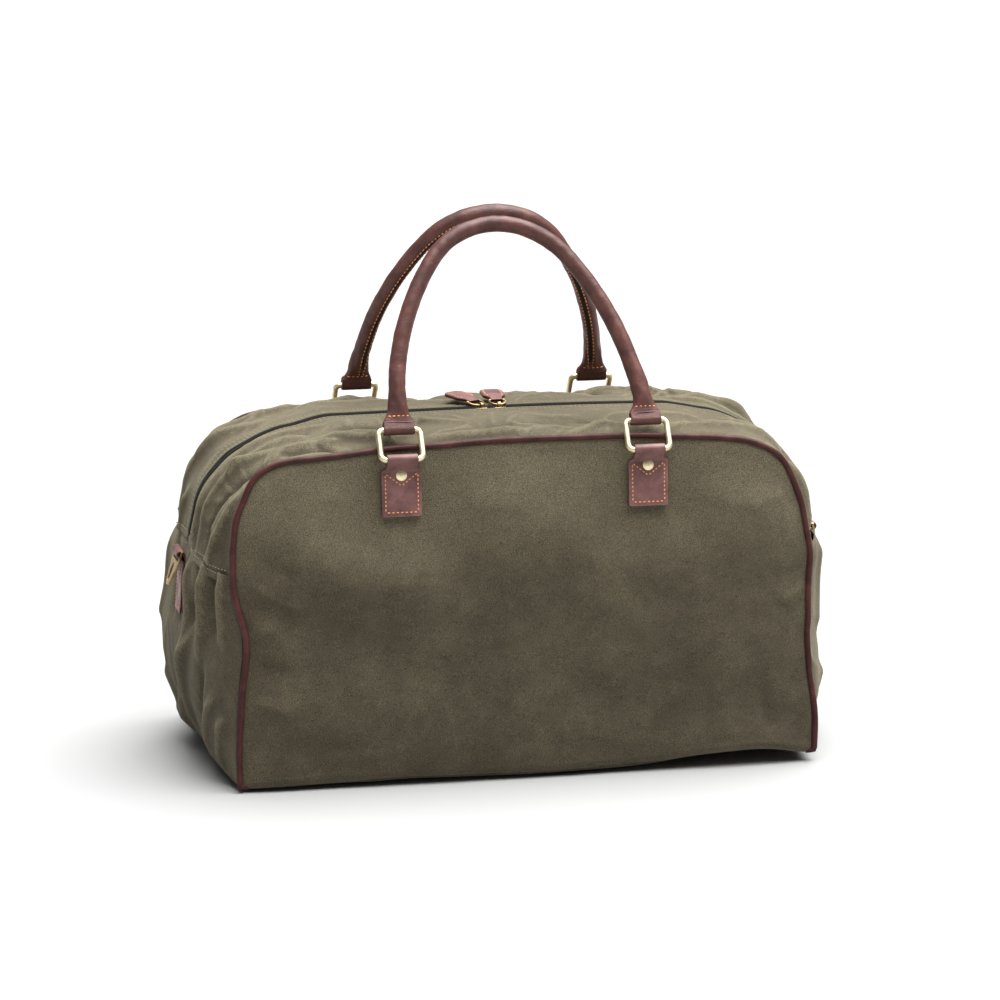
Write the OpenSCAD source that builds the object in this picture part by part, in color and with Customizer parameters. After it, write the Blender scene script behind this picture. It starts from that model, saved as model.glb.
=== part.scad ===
// Weekender bag: canvas body with leather piping, two rolled handles on rings,
// a two-slider zip mouth and a strap ring at each end.
// Millimetres. Origin at the middle of the base; front faces -Y, up is +Z.

/* [Body] */
// length over the piping
body_length = 500; // [400:5:600]
// depth of the base between the panel seams
base_depth = 266; // [200:2:320]
// depth at the top edge between the pipings
top_depth = 218; // [150:2:300]
// height of the top piping above the floor
panel_height = 286; // [200:2:360]
// radius of the top corners of the front and back panels
corner_radius = 62; // [20:1:100]
// canvas thickness
canvas_t = 1.6; // [0.8:0.1:3]
// height of the cross seam on each end
hem_height = 190; // [120:2:240]
// outward swell of the end panels at the floor
swell_bottom = 8; // [0:1:30]
// outward swell of the ends at the top corners
swell_top = 22; // [0:1:40]
// extra swell at mid height
swell_mid = 21; // [0:1:40]
// rise of the top between the pipings
crown = 11; // [0:1:30]

/* [Piping] */
// outer radius of the leather piping
piping_r = 2.6; // [1.5:0.1:4]
// radius of the cord inside it
piping_cord_r = 1.6; // [0.8:0.1:3]

/* [Base and lining] */
// thickness of the stiffening board
board_t = 2.5; // [1:0.5:5]
// gap between the board's edge and the seams
board_inset = 10; // [4:1:30]
// lining thickness
lining_t = 0.6; // [0.3:0.1:1.5]
// gap between canvas and lining
lining_gap = 2.2; // [1.5:0.1:5]

/* [Zip and mouth] */
// half length of the part of the top that opens
mouth_half = 150; // [80:2:180]
// distance from the middle to the crease that the opened top folds on
fold_y = 70; // [30:1:95]
// half width of the visible zip between the canvas edges
zip_half = 6; // [4:0.5:12]
// half width of the whole zip tape
tape_half = 14; // [10:0.5:20]
// zip tape thickness
tape_t = 0.6; // [0.4:0.1:1]
// outer edge of one coil row
coil_out = 2.8; // [2:0.1:4]
// half of the slit between the coil rows
coil_in = 0.5; // [0.4:0.1:1]
// coil height
coil_h = 1.9; // [1:0.1:3]
// slider length
slider_length = 12; // [8:0.5:16]
// middle of the left slider
slider_left_x = -15; // [-140:1:-8]
// middle of the right slider
slider_right_x = 1; // [-4:1:140]

/* [Zip pulls] */
// wire radius of the pull ring
link_wire = 1; // [0.6:0.1:1.5]
// radius of the pull ring's bow
link_bow = 6.9; // [5:0.1:9]
// leather pull length
pull_length = 31; // [20:1:45]
// leather pull width
pull_width = 20; // [12:1:26]
// leather pull thickness
pull_t = 3.2; // [2:0.1:5]
// turn of the left pull about the vertical
pull_turn_left = 28; // [0:1:60]
// turn of the right pull about the vertical
pull_turn_right = 0; // [-30:1:30]
// rise of the pulls above level
pull_rise = 10; // [0:1:30]

/* [Handles] */
// distance of each ring from the middle
ring_x = 107; // [80:1:140]
// height of the lower bar of a handle ring
ring_z = 280; // [240:1:320]
// distance of that bar from the middle
ring_y = 120.2; // [100:0.1:140]
// ring wire radius
wire_r = 2.5; // [1.5:0.1:4]
// ring width between wire centres
ring_w = 36; // [24:1:50]
// ring height between wire centres
ring_h = 27.5; // [18:0.5:50]
// corner radius of the ring's centre line
ring_corner = 4.7; // [3:0.1:8]
// inward lean of a ring at rest
ring_lean = 36; // [0:1:60]
// inward lean of a handle at rest
handle_lean = 23.5; // [0:0.5:40]
// handle radius
handle_r = 7.3; // [5:0.1:12]
// radius of the core inside the handle
core_r = 5.3; // [3:0.1:10]
// radius of the handle's sides
side_radius = 247; // [150:1:400]
// radius of the handle's top bend
bend_radius = 72; // [40:1:107]
// width of the seam along the inside of the handle
seam_gap = 0.8; // [0.4:0.1:2]
// width of the leather loops
loop_w = 26.6; // [18:0.1:36]
// leather thickness
leather_t = 2; // [1:0.1:4]
// radial clearance of a ring bar in its loop
bar_gap = 0.1; // [0.05:0.01:0.1]

/* [Chapes] */
// chape width
chape_w = 34.5; // [24:0.5:50]
// chape height
chape_h = 41; // [24:1:60]
// height of the chape's upper edge above the floor
chape_top = 271; // [240:1:290]
// rivet cap radius
rivet_r = 4.7; // [3:0.1:7]
// rivet shank radius
shank_r = 1.6; // [1:0.1:3]

/* [End rings] */
// width of the end tab
tab_w = 28; // [16:1:40]
// lower edge of the end tab
tab_low = 130; // [80:1:170]
// height of the bar in the end tab
tab_high = 182; // [120:1:200]
// wire radius of the end ring's bar
eye_wire = 1.6; // [1:0.1:3]
// thickness of the end ring
eye_t = 2.2; // [1.5:0.1:4]
// length of the end ring from its bar to its tip
eye_length = 30; // [20:1:50]
// outward lean of the end ring at rest
eye_lean = 24; // [15:1:60]

/* [Hidden] */
$fn = 64;
tiny = 0.05;
lean = atan((base_depth - top_depth) / 2 / panel_height);
half_x = body_length / 2 - piping_r;
half_y = base_depth / 2;
top_w = panel_height / cos(lean);
side_w = top_w - corner_radius;
flat_x = half_x - corner_radius;
floor_t = canvas_t;
edge_gap = 0.1;
top_y = top_depth / 2;
loop_r = wire_r + bar_gap + leather_t;
bar_top_y = ring_y - ring_h * sin(ring_lean);
bar_top_z = ring_z + ring_h * cos(ring_lean);
bend_y = sqrt(pow(side_radius - bend_radius, 2) - pow(side_radius - ring_x, 2));
side_angle = atan2(bend_y, side_radius - ring_x);
flare_start = 8;
splice = 0.15;
splice_angle = 0.4;
tab_loop_r = eye_wire + bar_gap + leather_t + 0.3;
slider_gap = 0.25;
slider_wall = 1.3;
slider_half_w = coil_out + slider_gap + slider_wall;
link_z = slider_wall + slider_gap + 1.7;
mouth_gap = 0.2;
fold_gap = 0.3;

// node to draw

// smooth step from 0 to 1
function ease(t) = let (u = min(1, max(0, t))) u * u * (3 - 2 * u);
// distance of the panel seam from the middle at a height along the panel
function seam_y(w) = half_y - w * sin(lean);
// swell of an end at a height along the panel
function end_swell(w) = let (t = w / side_w)
    swell_bottom * (1 - t) + swell_top * t + swell_mid * sin(180 * pow(t, 0.9));
// swell of the band round the body at a station [x, w, angle]
function swell(s) =
    s[1] < side_w ? end_swell(s[1])
    : abs(s[0]) > flat_x + tiny ? swell_top * (1 - ease((90 - abs(s[2] - 90)) / 60))
    : crown * ease((flat_x - abs(s[0])) / (flat_x - mouth_half - mouth_gap));
// point of the band's outer face at a station, y across and d below the face
function band_point(s, y, d) =
    let (
        v = y / seam_y(s[1]),
        out = swell(s) * (1 - v * v) - d
    )
    [s[0] + cos(s[2]) * out, y, s[1] * cos(lean) + sin(s[2]) * out];
// height of the top at a distance from the middle
function top_z(y) = panel_height + crown * (1 - pow(y / top_y, 2));

// stations up one end from height a to height b
function end_stations(a, b, n) = [for (i = [0:n]) [-half_x, a + (b - a) * i / n, 180]];
// stations round a top corner
corner_stations = [for (a = [171:-9:90])
    [-flat_x + corner_radius * cos(a), side_w + corner_radius * sin(a), a]];
// stations along the top up to the mouth
shoulder_stations = [for (i = [1:4])
    [-flat_x + (flat_x - mouth_half - mouth_gap) * i / 4, top_w, 90]];
// all stations from the left cross seam to the mouth
left_stations = concat(
    end_stations(hem_height + edge_gap, side_w - tiny, 3),
    corner_stations,
    shoulder_stations
);
// the same on the right, in running order
function flipped(list) =
    [for (i = [len(list) - 1:-1:0]) [-list[i][0], list[i][1], 180 - list[i][2]]];
right_stations = flipped(left_stations);
band_stations = concat(left_stations, [[0, top_w, 90]], right_stations);

// Cloth patch between two grids of points; cells whose keep is false are left out.
module cloth(outer, inner, keep) {
    ni = len(outer) - 1;
    nj = len(outer[0]) - 1;
    row = nj + 1;
    shift = (ni + 1) * row;
    kept = function (i, j) i >= 0 && i < ni && j >= 0 && j < nj && keep[i][j];
    quads = [
        for (i = [0:ni - 1], j = [0:nj - 1])
            if (kept(i, j))
                let (
                    a = i * row + j,
                    b = a + 1,
                    d = a + row,
                    c = d + 1
                )
                each concat(
                    [[a, b, c, d], [a + shift, d + shift, c + shift, b + shift]],
                    kept(i, j - 1) ? [] : [[a, d, d + shift, a + shift]],
                    kept(i, j + 1) ? [] : [[c, b, b + shift, c + shift]],
                    kept(i - 1, j) ? [] : [[b, a, a + shift, b + shift]],
                    kept(i + 1, j) ? [] : [[d, c, c + shift, d + shift]]
                )
    ];
    polyhedron(
        points = concat([for (r = outer) each r], [for (r = inner) each r]),
        faces = [for (q = quads) each [[q[0], q[1], q[2]], [q[0], q[2], q[3]]]]
    );
}

// Patch of the band: stations by y lines, from depth d0 to depth d1.
module band(stations, lines, d0, d1, keep) {
    cloth(
        [for (s = stations) [for (l = lines) band_point(s, l * line_scale(s, l), d0)]],
        [for (s = stations) [for (l = lines) band_point(s, l * line_scale(s, l), d1)]],
        keep
    );
}
// y lines outside the zip widen with the band; those of the zip do not
function line_scale(s, l) = abs(l) > tape_half
    ? (seam_y(s[1]) - piping_r - tiny) / (top_y - piping_r - tiny) : 1;
edge_line = top_y - piping_r - tiny;

// every cell of a grid kept
function all_cells(stations, lines) =
    [for (i = [1:len(stations) - 1]) [for (j = [1:len(lines) - 1]) true]];

// children placed on the leaning plane of the front panel: X across, Y up it, Z outward
module on_panel() {
    translate([0, -half_y, 0])
        rotate([90 - lean, 0, 0])
            children();
}

// the front thing for side -1, its mirror image at the back for side 1
module at_side(side) {
    if (side > 0) mirror([0, 1, 0]) children();
    else children();
}

// outline of a panel: flat bottom, rounded top corners
module panel_outline(inset, low) {
    r = corner_radius - inset;
    translate([-half_x + inset, low]) square([2 * (half_x - inset), side_w - low]);
    translate([-flat_x, low]) square([2 * flat_x, side_w + r - low]);
    for (x = [-flat_x, flat_x]) translate([x, side_w]) circle(r);
}

// ---- body ----

module base_panel() {
    color("#4c4835")
        linear_extrude(floor_t)
            base_outline(0);
}

// plan of the base with swelling ends
module base_outline(inset) {
    n = 16;
    edge = half_y + canvas_t - inset;
    tip = [for (i = [0:n]) let (v = -1 + 2 * i / n)
        [half_x + piping_r - inset + swell_bottom * (1 - v * v), v * edge]];
    polygon(concat(tip, [for (i = [n:-1:0]) [-tip[i][0], tip[i][1]]]));
}

module base_board() {
    color("#8a7a62")
        translate([0, 0, floor_t + edge_gap])
            linear_extrude(board_t)
                offset_plate(half_x - board_inset, half_y - board_inset, 12);
}

// rounded rectangle with half sizes a and b
module offset_plate(a, b, r) {
    square([2 * a, 2 * (b - r)], center = true);
    square([2 * (a - r), 2 * b], center = true);
    for (x = [-a + r, a - r], y = [-b + r, b - r])
        translate([x, y]) circle(r);
}

module wall_panel(side) {
    color("#4c4835")
        at_side(side)
            difference() {
                on_panel()
                    translate([0, 0, -canvas_t / 2])
                        linear_extrude(canvas_t)
                            panel_outline(piping_r, floor_t + 0.2);
                for (x = [-ring_x, ring_x]) rivet_axis(x, 0) cylinder(r = shank_r, h = 12, center = true);
            }
}

module end_panel(mirrored) {
    stations = end_stations(floor_t + 0.2, hem_height, 11);
    lines = [for (i = [-6:6]) edge_line * i / 6];
    color("#4c4835")
        mirror([mirrored, 0, 0])
            band(stations, lines, 0, canvas_t, all_cells(stations, lines));
}

module piping_path(r_out, r_in) {
    low = floor_t + 0.3;
    on_panel() {
        for (x = [-half_x, half_x])
            translate([x, low, 0]) rotate([-90, 0, 0]) pipe(r_out, r_in, side_w - low);
        translate([-flat_x, top_w, 0]) rotate([0, 90, 0]) pipe(r_out, r_in, 2 * flat_x);
        translate([flat_x, side_w, 0]) bend(r_out, r_in, 0);
        translate([-flat_x, side_w, 0]) bend(r_out, r_in, 90);
    }
}

// straight tube, solid when r_in is 0
module pipe(r_out, r_in, h) {
    difference() {
        cylinder(r = r_out, h = h);
        if (r_in > 0) translate([0, 0, -1]) cylinder(r = r_in, h = h + 2);
    }
}

// quarter bend of the piping
module bend(r_out, r_in, start) {
    rotate([0, 0, start])
        rotate_extrude(angle = 90)
            translate([corner_radius, 0])
                difference() {
                    circle(r_out);
                    if (r_in > 0) circle(r_in);
                }
}

module piping(side) {
    color("#6b423e") at_side(side) piping_path(piping_r, piping_cord_r);
}

module piping_cord(side) {
    color("#d8cfb8") at_side(side) piping_path(piping_cord_r, 0);
}

// The front or back half of the top, from cross seam to cross seam, without its mouth flap.
module top_strip(side) {
    lines = [-edge_line, -90, -fold_y - fold_gap, -40, -tape_half - 1, -zip_half];
    n = len(band_stations);
    first = len(left_stations) - 1;
    keep = [for (i = [0:n - 2]) [for (j = [0:len(lines) - 2])
        j < 2 || i < first || i > first + 1]];
    color("#6a654e")
        at_side(side)
            band(band_stations, lines, 0, canvas_t, keep);
}

module zip_tape_ends(side) {
    lines = [-tape_half, -coil_out];
    color("#23231f")
        at_side(side)
            for (list = [left_stations, right_stations])
                band(list, lines, canvas_t + 0.1, canvas_t + 0.1 + tape_t, all_cells(list, lines));
}

module coil_ends(side) {
    lines = [-coil_out, -coil_in];
    color("#1b1b1a")
        at_side(side)
            for (list = [left_stations, right_stations])
                band(list, lines, canvas_t + 0.7 - coil_h, canvas_t + 0.7, all_cells(list, lines));
}

// ---- lining ----

module lining_wall(side) {
    color("#7c7460")
        at_side(side)
            on_panel()
                translate([0, 0, -canvas_t / 2 - lining_gap - lining_t])
                    linear_extrude(lining_t)
                        panel_outline(piping_r + 4, floor_t + board_t + 1.2);
}

module lining_end(mirrored) {
    stations = concat(end_stations(floor_t + board_t + 2, side_w - tiny, 8), corner_stations);
    lines = [for (i = [-5:5]) (edge_line - 4) * i / 5];
    depth = canvas_t + lining_gap;
    color("#7c7460")
        mirror([mirrored, 0, 0])
            band(stations, lines, depth, depth + lining_t, all_cells(stations, lines));
}

module lining_base() {
    color("#7c7460")
        translate([0, 0, floor_t + board_t + 2 * edge_gap])
            linear_extrude(lining_t)
                offset_plate(half_x - 5, half_y - 5, 12);
}

// ---- chapes ----

// axis of a chape rivet, pointing out of the front panel
module rivet_axis(x, out) {
    on_panel() translate([x, chape_top / cos(lean) - 6, canvas_t / 2 + out]) children();
}

module chape(side, x) {
    face = canvas_t / 2 + edge_gap / 2;
    thick = 2 * leather_t;
    top = chape_top / cos(lean);
    color("#5f3a35")
        at_side(side)
            difference() {
                union() {
                    on_panel()
                        translate([x, top - chape_h / 2, face])
                            linear_extrude(thick)
                                offset_plate(chape_w / 2, chape_h / 2, 2);
                    chape_neck(x);
                    translate([x - loop_w / 2, -ring_y, ring_z])
                        rotate([0, 90, 0])
                            cylinder(r = loop_r, h = loop_w);
                }
                translate([x, -ring_y, ring_z])
                    rotate([0, 90, 0])
                        cylinder(r = wire_r + bar_gap, h = loop_w + 2, center = true);
                rivet_axis(x, 0) cylinder(r = shank_r, h = 12, center = true);
            }
}

// the two layers of leather running together from the ring's bar to the chape
module chape_neck(x) {
    back = seam_y(chape_top) + canvas_t / 2 + edge_gap;
    front = back + 2 * leather_t;
    translate([x - loop_w / 2, 0, 0])
        rotate([90, 0, 90])
            linear_extrude(loop_w)
                polygon([
                    [-back, chape_top - 3],
                    [-front, chape_top - 3],
                    [-ring_y - loop_r * cos(20), ring_z - loop_r * sin(20)],
                    [-ring_y, ring_z],
                    [-ring_y + loop_r * cos(20), ring_z + loop_r * sin(20)],
                    [-back - 1, chape_top + 3],
                    [-back, chape_top]
                ]);
}

module chape_rivets() {
    cap = 1.6;
    dome = (rivet_r * rivet_r + cap * cap) / (2 * cap);
    reach = 2 * leather_t + edge_gap / 2;
    color("#c2a566")
        for (side = [-1, 1], x = [-ring_x, ring_x])
            at_side(side) {
                rivet_axis(x, reach)
                    intersection() {
                        translate([0, 0, cap - dome]) sphere(dome);
                        cylinder(r = rivet_r, h = cap);
                    }
                rivet_axis(x, -canvas_t - 0.6) cylinder(r = shank_r, h = canvas_t + 0.6 + reach);
            }
}

module rivet_burrs() {
    color("#a58d55")
        for (side = [-1, 1], x = [-ring_x, ring_x])
            at_side(side)
                rivet_axis(x, -canvas_t - 0.8)
                    difference() {
                        cylinder(r = rivet_r - 0.7, h = 0.8);
                        translate([0, 0, -1]) cylinder(r = shank_r, h = 3);
                    }
}

// ---- end tabs ----

// outer face of the left end in the middle, at a height along the panel
function end_face(w, out) = let (p = band_point([-half_x, w, 180], 0, 0)) [p[0] - out, p[2]];
eye_bar = end_face(tab_high, tab_loop_r + edge_gap);

module end_tab(mirrored) {
    n = 8;
    thick = 2 * leather_t;
    back = [for (i = [0:n]) end_face(tab_low + (tab_high - tab_low) * i / n, edge_gap)];
    front = [for (i = [n:-1:0])
        end_face(tab_low + (tab_high - tab_low) * i / n, edge_gap + thick)];
    color("#5f3a35")
        mirror([mirrored, 0, 0])
            translate([0, tab_w / 2, 0])
                rotate([90, 0, 0])
                    linear_extrude(tab_w)
                        difference() {
                            union() {
                                polygon(concat(back, front));
                                translate(eye_bar) circle(tab_loop_r);
                            }
                            translate(eye_bar) circle(eye_wire + bar_gap);
                        }
}

module end_ring(mirrored) {
    half = tab_w / 2 + 3;
    color("#b89b5c")
        mirror([mirrored, 0, 0])
            translate([eye_bar[0], 0, eye_bar[1]])
                rotate([0, eye_lean, 0]) {
                    rotate([90, 0, 0]) cylinder(r = eye_wire, h = 2 * half - 3, center = true);
                    rotate([90, 0, -90])
                        linear_extrude(eye_t, center = true)
                            difference() {
                                hull() {
                                    for (y = [-half + 2, half - 2], z = [0, -6])
                                        translate([y, z]) circle(2);
                                    translate([0, -eye_length + 5]) circle(5);
                                }
                                translate([-tab_w / 2 - 0.4, -6])
                                    square([tab_w + 0.8, 12]);
                                hull() {
                                    translate([0, -13.8]) circle(4.4);
                                    translate([0, -eye_length + 6]) circle(2.8);
                                }
                            }
                }
}

// ---- mouth flaps and zip ----

// profile of a piece of the top between two y lines, from depth d0 to depth d1
module top_profile(y0, y1, d0, d1) {
    n = 8;
    ys = [for (i = [0:n]) y0 + (y1 - y0) * i / n];
    polygon(concat(
        [for (y = ys) [y, top_z(y) - d0]],
        [for (i = [n:-1:0]) [ys[i], top_z(ys[i]) - d1]]
    ));
}

module mouth_piece(side, y0, y1, d0, d1) {
    at_side(side)
        translate([-mouth_half, 0, 0])
            rotate([90, 0, 90])
                linear_extrude(2 * mouth_half)
                    top_profile(y0, y1, d0, d1);
}

module mouth_flap(side) {
    color("#6a654e")
        mouth_piece(side, -fold_y + fold_gap, -zip_half, 0, canvas_t);
}

module zip_tape(side) {
    color("#23231f")
        mouth_piece(side, -tape_half, -coil_out, canvas_t + 0.1, canvas_t + 0.1 + tape_t);
}

module coil(side) {
    color("#1b1b1a")
        mouth_piece(side, -coil_out, -coil_in, canvas_t + 0.7 - coil_h, canvas_t + 0.7);
}

// ---- sliders and pulls ----

// slider, its frame at the middle of the coil's top face; nose = 1 points to +X
module slider(x, nose, turn) {
    top = top_z(0) - (canvas_t + 0.7 - coil_h);
    chan = coil_h + 2 * slider_gap;
    half_l = slider_length / 2;
    color("#9c8350")
        translate([x, 0, top]) {
            difference() {
                slider_block(half_l, chan);
                translate([-half_l - 1, -coil_out - slider_gap, slider_gap - chan])
                    cube([slider_length + 2, 2 * (coil_out + slider_gap), chan]);
                translate([-half_l - 1, -slider_half_w - 1, slider_gap - chan + 0.2])
                    cube([slider_length + 2, 2 * slider_half_w + 2, tape_t + 0.7]);
            }
            translate([nose > 0 ? half_l - 4.5 : -half_l + 0.5, -0.25, slider_gap - chan - 0.1])
                cube([4, 0.5, chan + 0.2]);
            slider_bridge(turn);
        }
}

// outer block of the slider with rounded ends
module slider_block(half_l, chan) {
    translate([0, 0, slider_gap - chan - slider_wall])
        linear_extrude(chan + 2 * slider_wall)
            offset_plate(half_l, slider_half_w, 2.5);
}

// eye on the slider that the pull ring hangs in
module slider_bridge(turn) {
    r = link_wire + 0.3;
    rotate([0, 0, turn])
        difference() {
            translate([-1.5, 0, link_z]) rotate([0, 90, 0]) cylinder(r = r + 1.2, h = 3);
            translate([-3, 0, link_z]) rotate([0, 90, 0]) cylinder(r = r, h = 6);
            translate([-3, -5, slider_gap - 6 + slider_wall / 2]) cube([6, 10, 6]);
        }
}

// frame of a pull: origin in the slider's eye, X along the ring's bar, Y towards the pull
module pull_frame(x, turn, rise) {
    translate([x, 0, top_z(0) - (canvas_t + 0.7 - coil_h) + link_z])
        rotate([0, 0, turn])
            rotate([rise, 0, 0])
                children();
}

module pull_ring(x, turn) {
    color("#c2a566")
        pull_frame(x, turn, pull_rise) {
            translate([0, link_bow, 0])
                rotate([0, 0, 180])
                    rotate_extrude(angle = 180)
                        translate([link_bow, 0]) circle(link_wire);
            for (s = [-1, 1])
                translate([s * link_bow, link_bow, 0]) rotate([-90, 0, 0]) cylinder(r = link_wire, h = 4);
            translate([0, link_bow + 4, 0])
                rotate([0, 90, 0])
                    cylinder(r = link_wire, h = 2 * link_bow, center = true);
            for (s = [-1, 1]) translate([s * link_bow, link_bow + 4, 0]) sphere(link_wire);
        }
}

module zip_pull(x, turn) {
    neck = 2 * (link_bow - link_wire - 0.5);
    bar = link_bow + 4;
    r = pull_t / 2 + 0.9;
    color("#5f3a35")
        pull_frame(x, turn, pull_rise)
            difference() {
                union() {
                    translate([0, bar, 0]) rotate([0, 90, 0]) cylinder(r = r, h = neck, center = true);
                    translate([0, 0, -pull_t / 2]) linear_extrude(pull_t) pull_outline(neck, bar);
                }
                translate([0, bar, 0])
                    rotate([0, 90, 0])
                        cylinder(r = link_wire + bar_gap, h = neck + 2, center = true);
            }
}

module pull_outline(neck, bar) {
    end = bar + pull_length;
    polygon([[-neck / 2, bar], [neck / 2, bar], [neck / 2, bar + 3], [pull_width / 2, bar + 12],
        [-pull_width / 2, bar + 12], [-neck / 2, bar + 3]]);
    translate([0, (bar + 11 + end) / 2])
        offset_plate(pull_width / 2, (end - bar - 11) / 2, 6);
}

// ---- handle rings and handles ----

// frame of a ring: origin in its lower bar, Y up the ring
module ring_frame(x) {
    translate([x, -ring_y, ring_z])
        rotate([90 - ring_lean, 0, 0])
            children();
}

module handle_ring(side, x) {
    half = ring_w / 2;
    color("#d2bd84")
        at_side(side)
            ring_frame(x) {
                for (y = [0, ring_h])
                    translate([0, y, 0])
                        rotate([0, 90, 0])
                            cylinder(r = wire_r, h = ring_w - 2 * ring_corner, center = true);
                for (s = [-half, half])
                    translate([s, ring_corner, 0])
                        rotate([-90, 0, 0])
                            cylinder(r = wire_r, h = ring_h - 2 * ring_corner);
                for (q = [0:3])
                    translate([
                        (q == 0 || q == 3 ? 1 : -1) * (half - ring_corner),
                        q < 2 ? ring_h - ring_corner : ring_corner,
                        0
                    ])
                        rotate([0, 0, 90 * q])
                            rotate_extrude(angle = 90)
                                translate([ring_corner, 0]) circle(wire_r);
            }
}

// frame of a handle: origin midway between the rings' upper bars, Y up the handle
module handle_frame() {
    translate([0, -bar_top_y, bar_top_z])
        rotate([90 - handle_lean, 0, 0])
            children();
}

// the handle's bent tube, starting a little above the rings; its sides end inside the top bend
module handle_tube(r_out, r_in, start) {
    side_in = r_in > 0 ? r_in + splice : 0;
    for (m = [0, 1])
        mirror([m, 0, 0])
            translate([ring_x - side_radius, 0, 0])
                rotate([0, 0, start])
                    rotate_extrude(angle = side_angle + splice_angle - start)
                        translate([side_radius, 0])
                            tube_section(r_out - splice, side_in, seam_gap + 2 * splice);
    translate([0, bend_y, 0])
        rotate([0, 0, side_angle])
            rotate_extrude(angle = 180 - 2 * side_angle)
                translate([bend_radius, 0]) tube_section(r_out, r_in, seam_gap);
}

// section of the handle; the leather has a seam on the side facing the hand
module tube_section(r_out, r_in, gap) {
    if (r_in > 0)
        difference() {
            circle(r_out);
            circle(r_in);
            translate([-r_out - 1, -gap / 2]) square([r_out, gap]);
        }
    else circle(r_out);
}

module handle_cover(side) {
    color("#5a3832")
        at_side(side)
            handle_frame() {
                handle_tube(handle_r, core_r, flare_start);
                for (m = [0, 1]) mirror([m, 0, 0]) handle_end();
            }
}

// flat end of the handle: flare, neck and loop round the ring's bar
module handle_end() {
    lift = side_radius * sin(flare_start);
    drift = side_radius * (1 - cos(flare_start));
    difference() {
        union() {
            hull() {
                translate([ring_x - drift, lift, 0])
                    rotate([-90, 0, flare_start])
                        translate([0, 0, -0.1]) cylinder(r = handle_r, h = 0.1);
                translate([ring_x, 11, 0]) cube([22, 0.2, 7], center = true);
            }
            hull() {
                translate([ring_x, 11, 0]) cube([22, 0.2, 7], center = true);
                translate([ring_x, 5, 0]) cube([loop_w, 0.2, 2 * loop_r - 2], center = true);
                translate([ring_x, 0, 0])
                    rotate([0, 90, 0])
                        cylinder(r = loop_r - 0.5, h = loop_w, center = true);
            }
            translate([ring_x, 0, 0])
                rotate([0, 90, 0])
                    cylinder(r = loop_r, h = loop_w, center = true);
        }
        translate([ring_x, 0, 0])
            rotate([0, 90, 0])
                cylinder(r = wire_r + bar_gap, h = loop_w + 2, center = true);
    }
}

module handle_core(side) {
    color("#cdbf9e")
        at_side(side)
            handle_frame()
                handle_tube(core_r, 0, flare_start);
}

// ---- assembly ----

base_panel();
base_board();
wall_panel(-1);  // front_panel
wall_panel(1);  // back_panel
end_panel(0);  // left_end_panel
end_panel(1);  // right_end_panel
piping(-1);  // front_piping
piping(1);  // back_piping
piping_cord(-1);  // front_piping_cord
piping_cord(1);  // back_piping_cord
top_strip(-1);  // front_top_strip
top_strip(1);  // back_top_strip
zip_tape_ends(-1);  // front_zip_tape_ends
zip_tape_ends(1);  // back_zip_tape_ends
coil_ends(-1);  // front_coil_ends
coil_ends(1);  // back_coil_ends
lining_wall(-1);  // lining_front
lining_wall(1);  // lining_back
lining_end(0);  // lining_left
lining_end(1);  // lining_right
lining_base();
chape(-1, -ring_x);  // chape_front_left
chape(-1, ring_x);  // chape_front_right
chape(1, -ring_x);  // chape_back_left
chape(1, ring_x);  // chape_back_right
chape_rivets();
rivet_burrs();
end_tab(0);  // end_tab_left
end_tab(1);  // end_tab_right
mouth_flap(-1);  // front_mouth_flap
mouth_flap(1);  // back_mouth_flap
zip_tape(-1);  // front_zip_tape
zip_tape(1);  // back_zip_tape
coil(-1);  // front_coil
coil(1);  // back_coil
slider(slider_left_x, 1, pull_turn_left);  // slider_left
slider(slider_right_x, -1, pull_turn_right);  // slider_right
pull_ring(slider_left_x, pull_turn_left);  // pull_ring_left
pull_ring(slider_right_x, pull_turn_right);  // pull_ring_right
zip_pull(slider_left_x, pull_turn_left);  // zip_pull_left
zip_pull(slider_right_x, pull_turn_right);  // zip_pull_right
handle_ring(-1, -ring_x);  // ring_front_left
handle_ring(-1, ring_x);  // ring_front_right
handle_ring(1, -ring_x);  // ring_back_left
handle_ring(1, ring_x);  // ring_back_right
handle_cover(-1);  // front_handle_cover
handle_core(-1);  // front_handle_core
handle_cover(1);  // back_handle_cover
handle_core(1);  // back_handle_core
end_ring(0);  // end_ring_left
end_ring(1);  // end_ring_right
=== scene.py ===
"""Looks of the weekender bag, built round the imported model. Lengths in the functions are millimetres."""
import math

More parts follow.
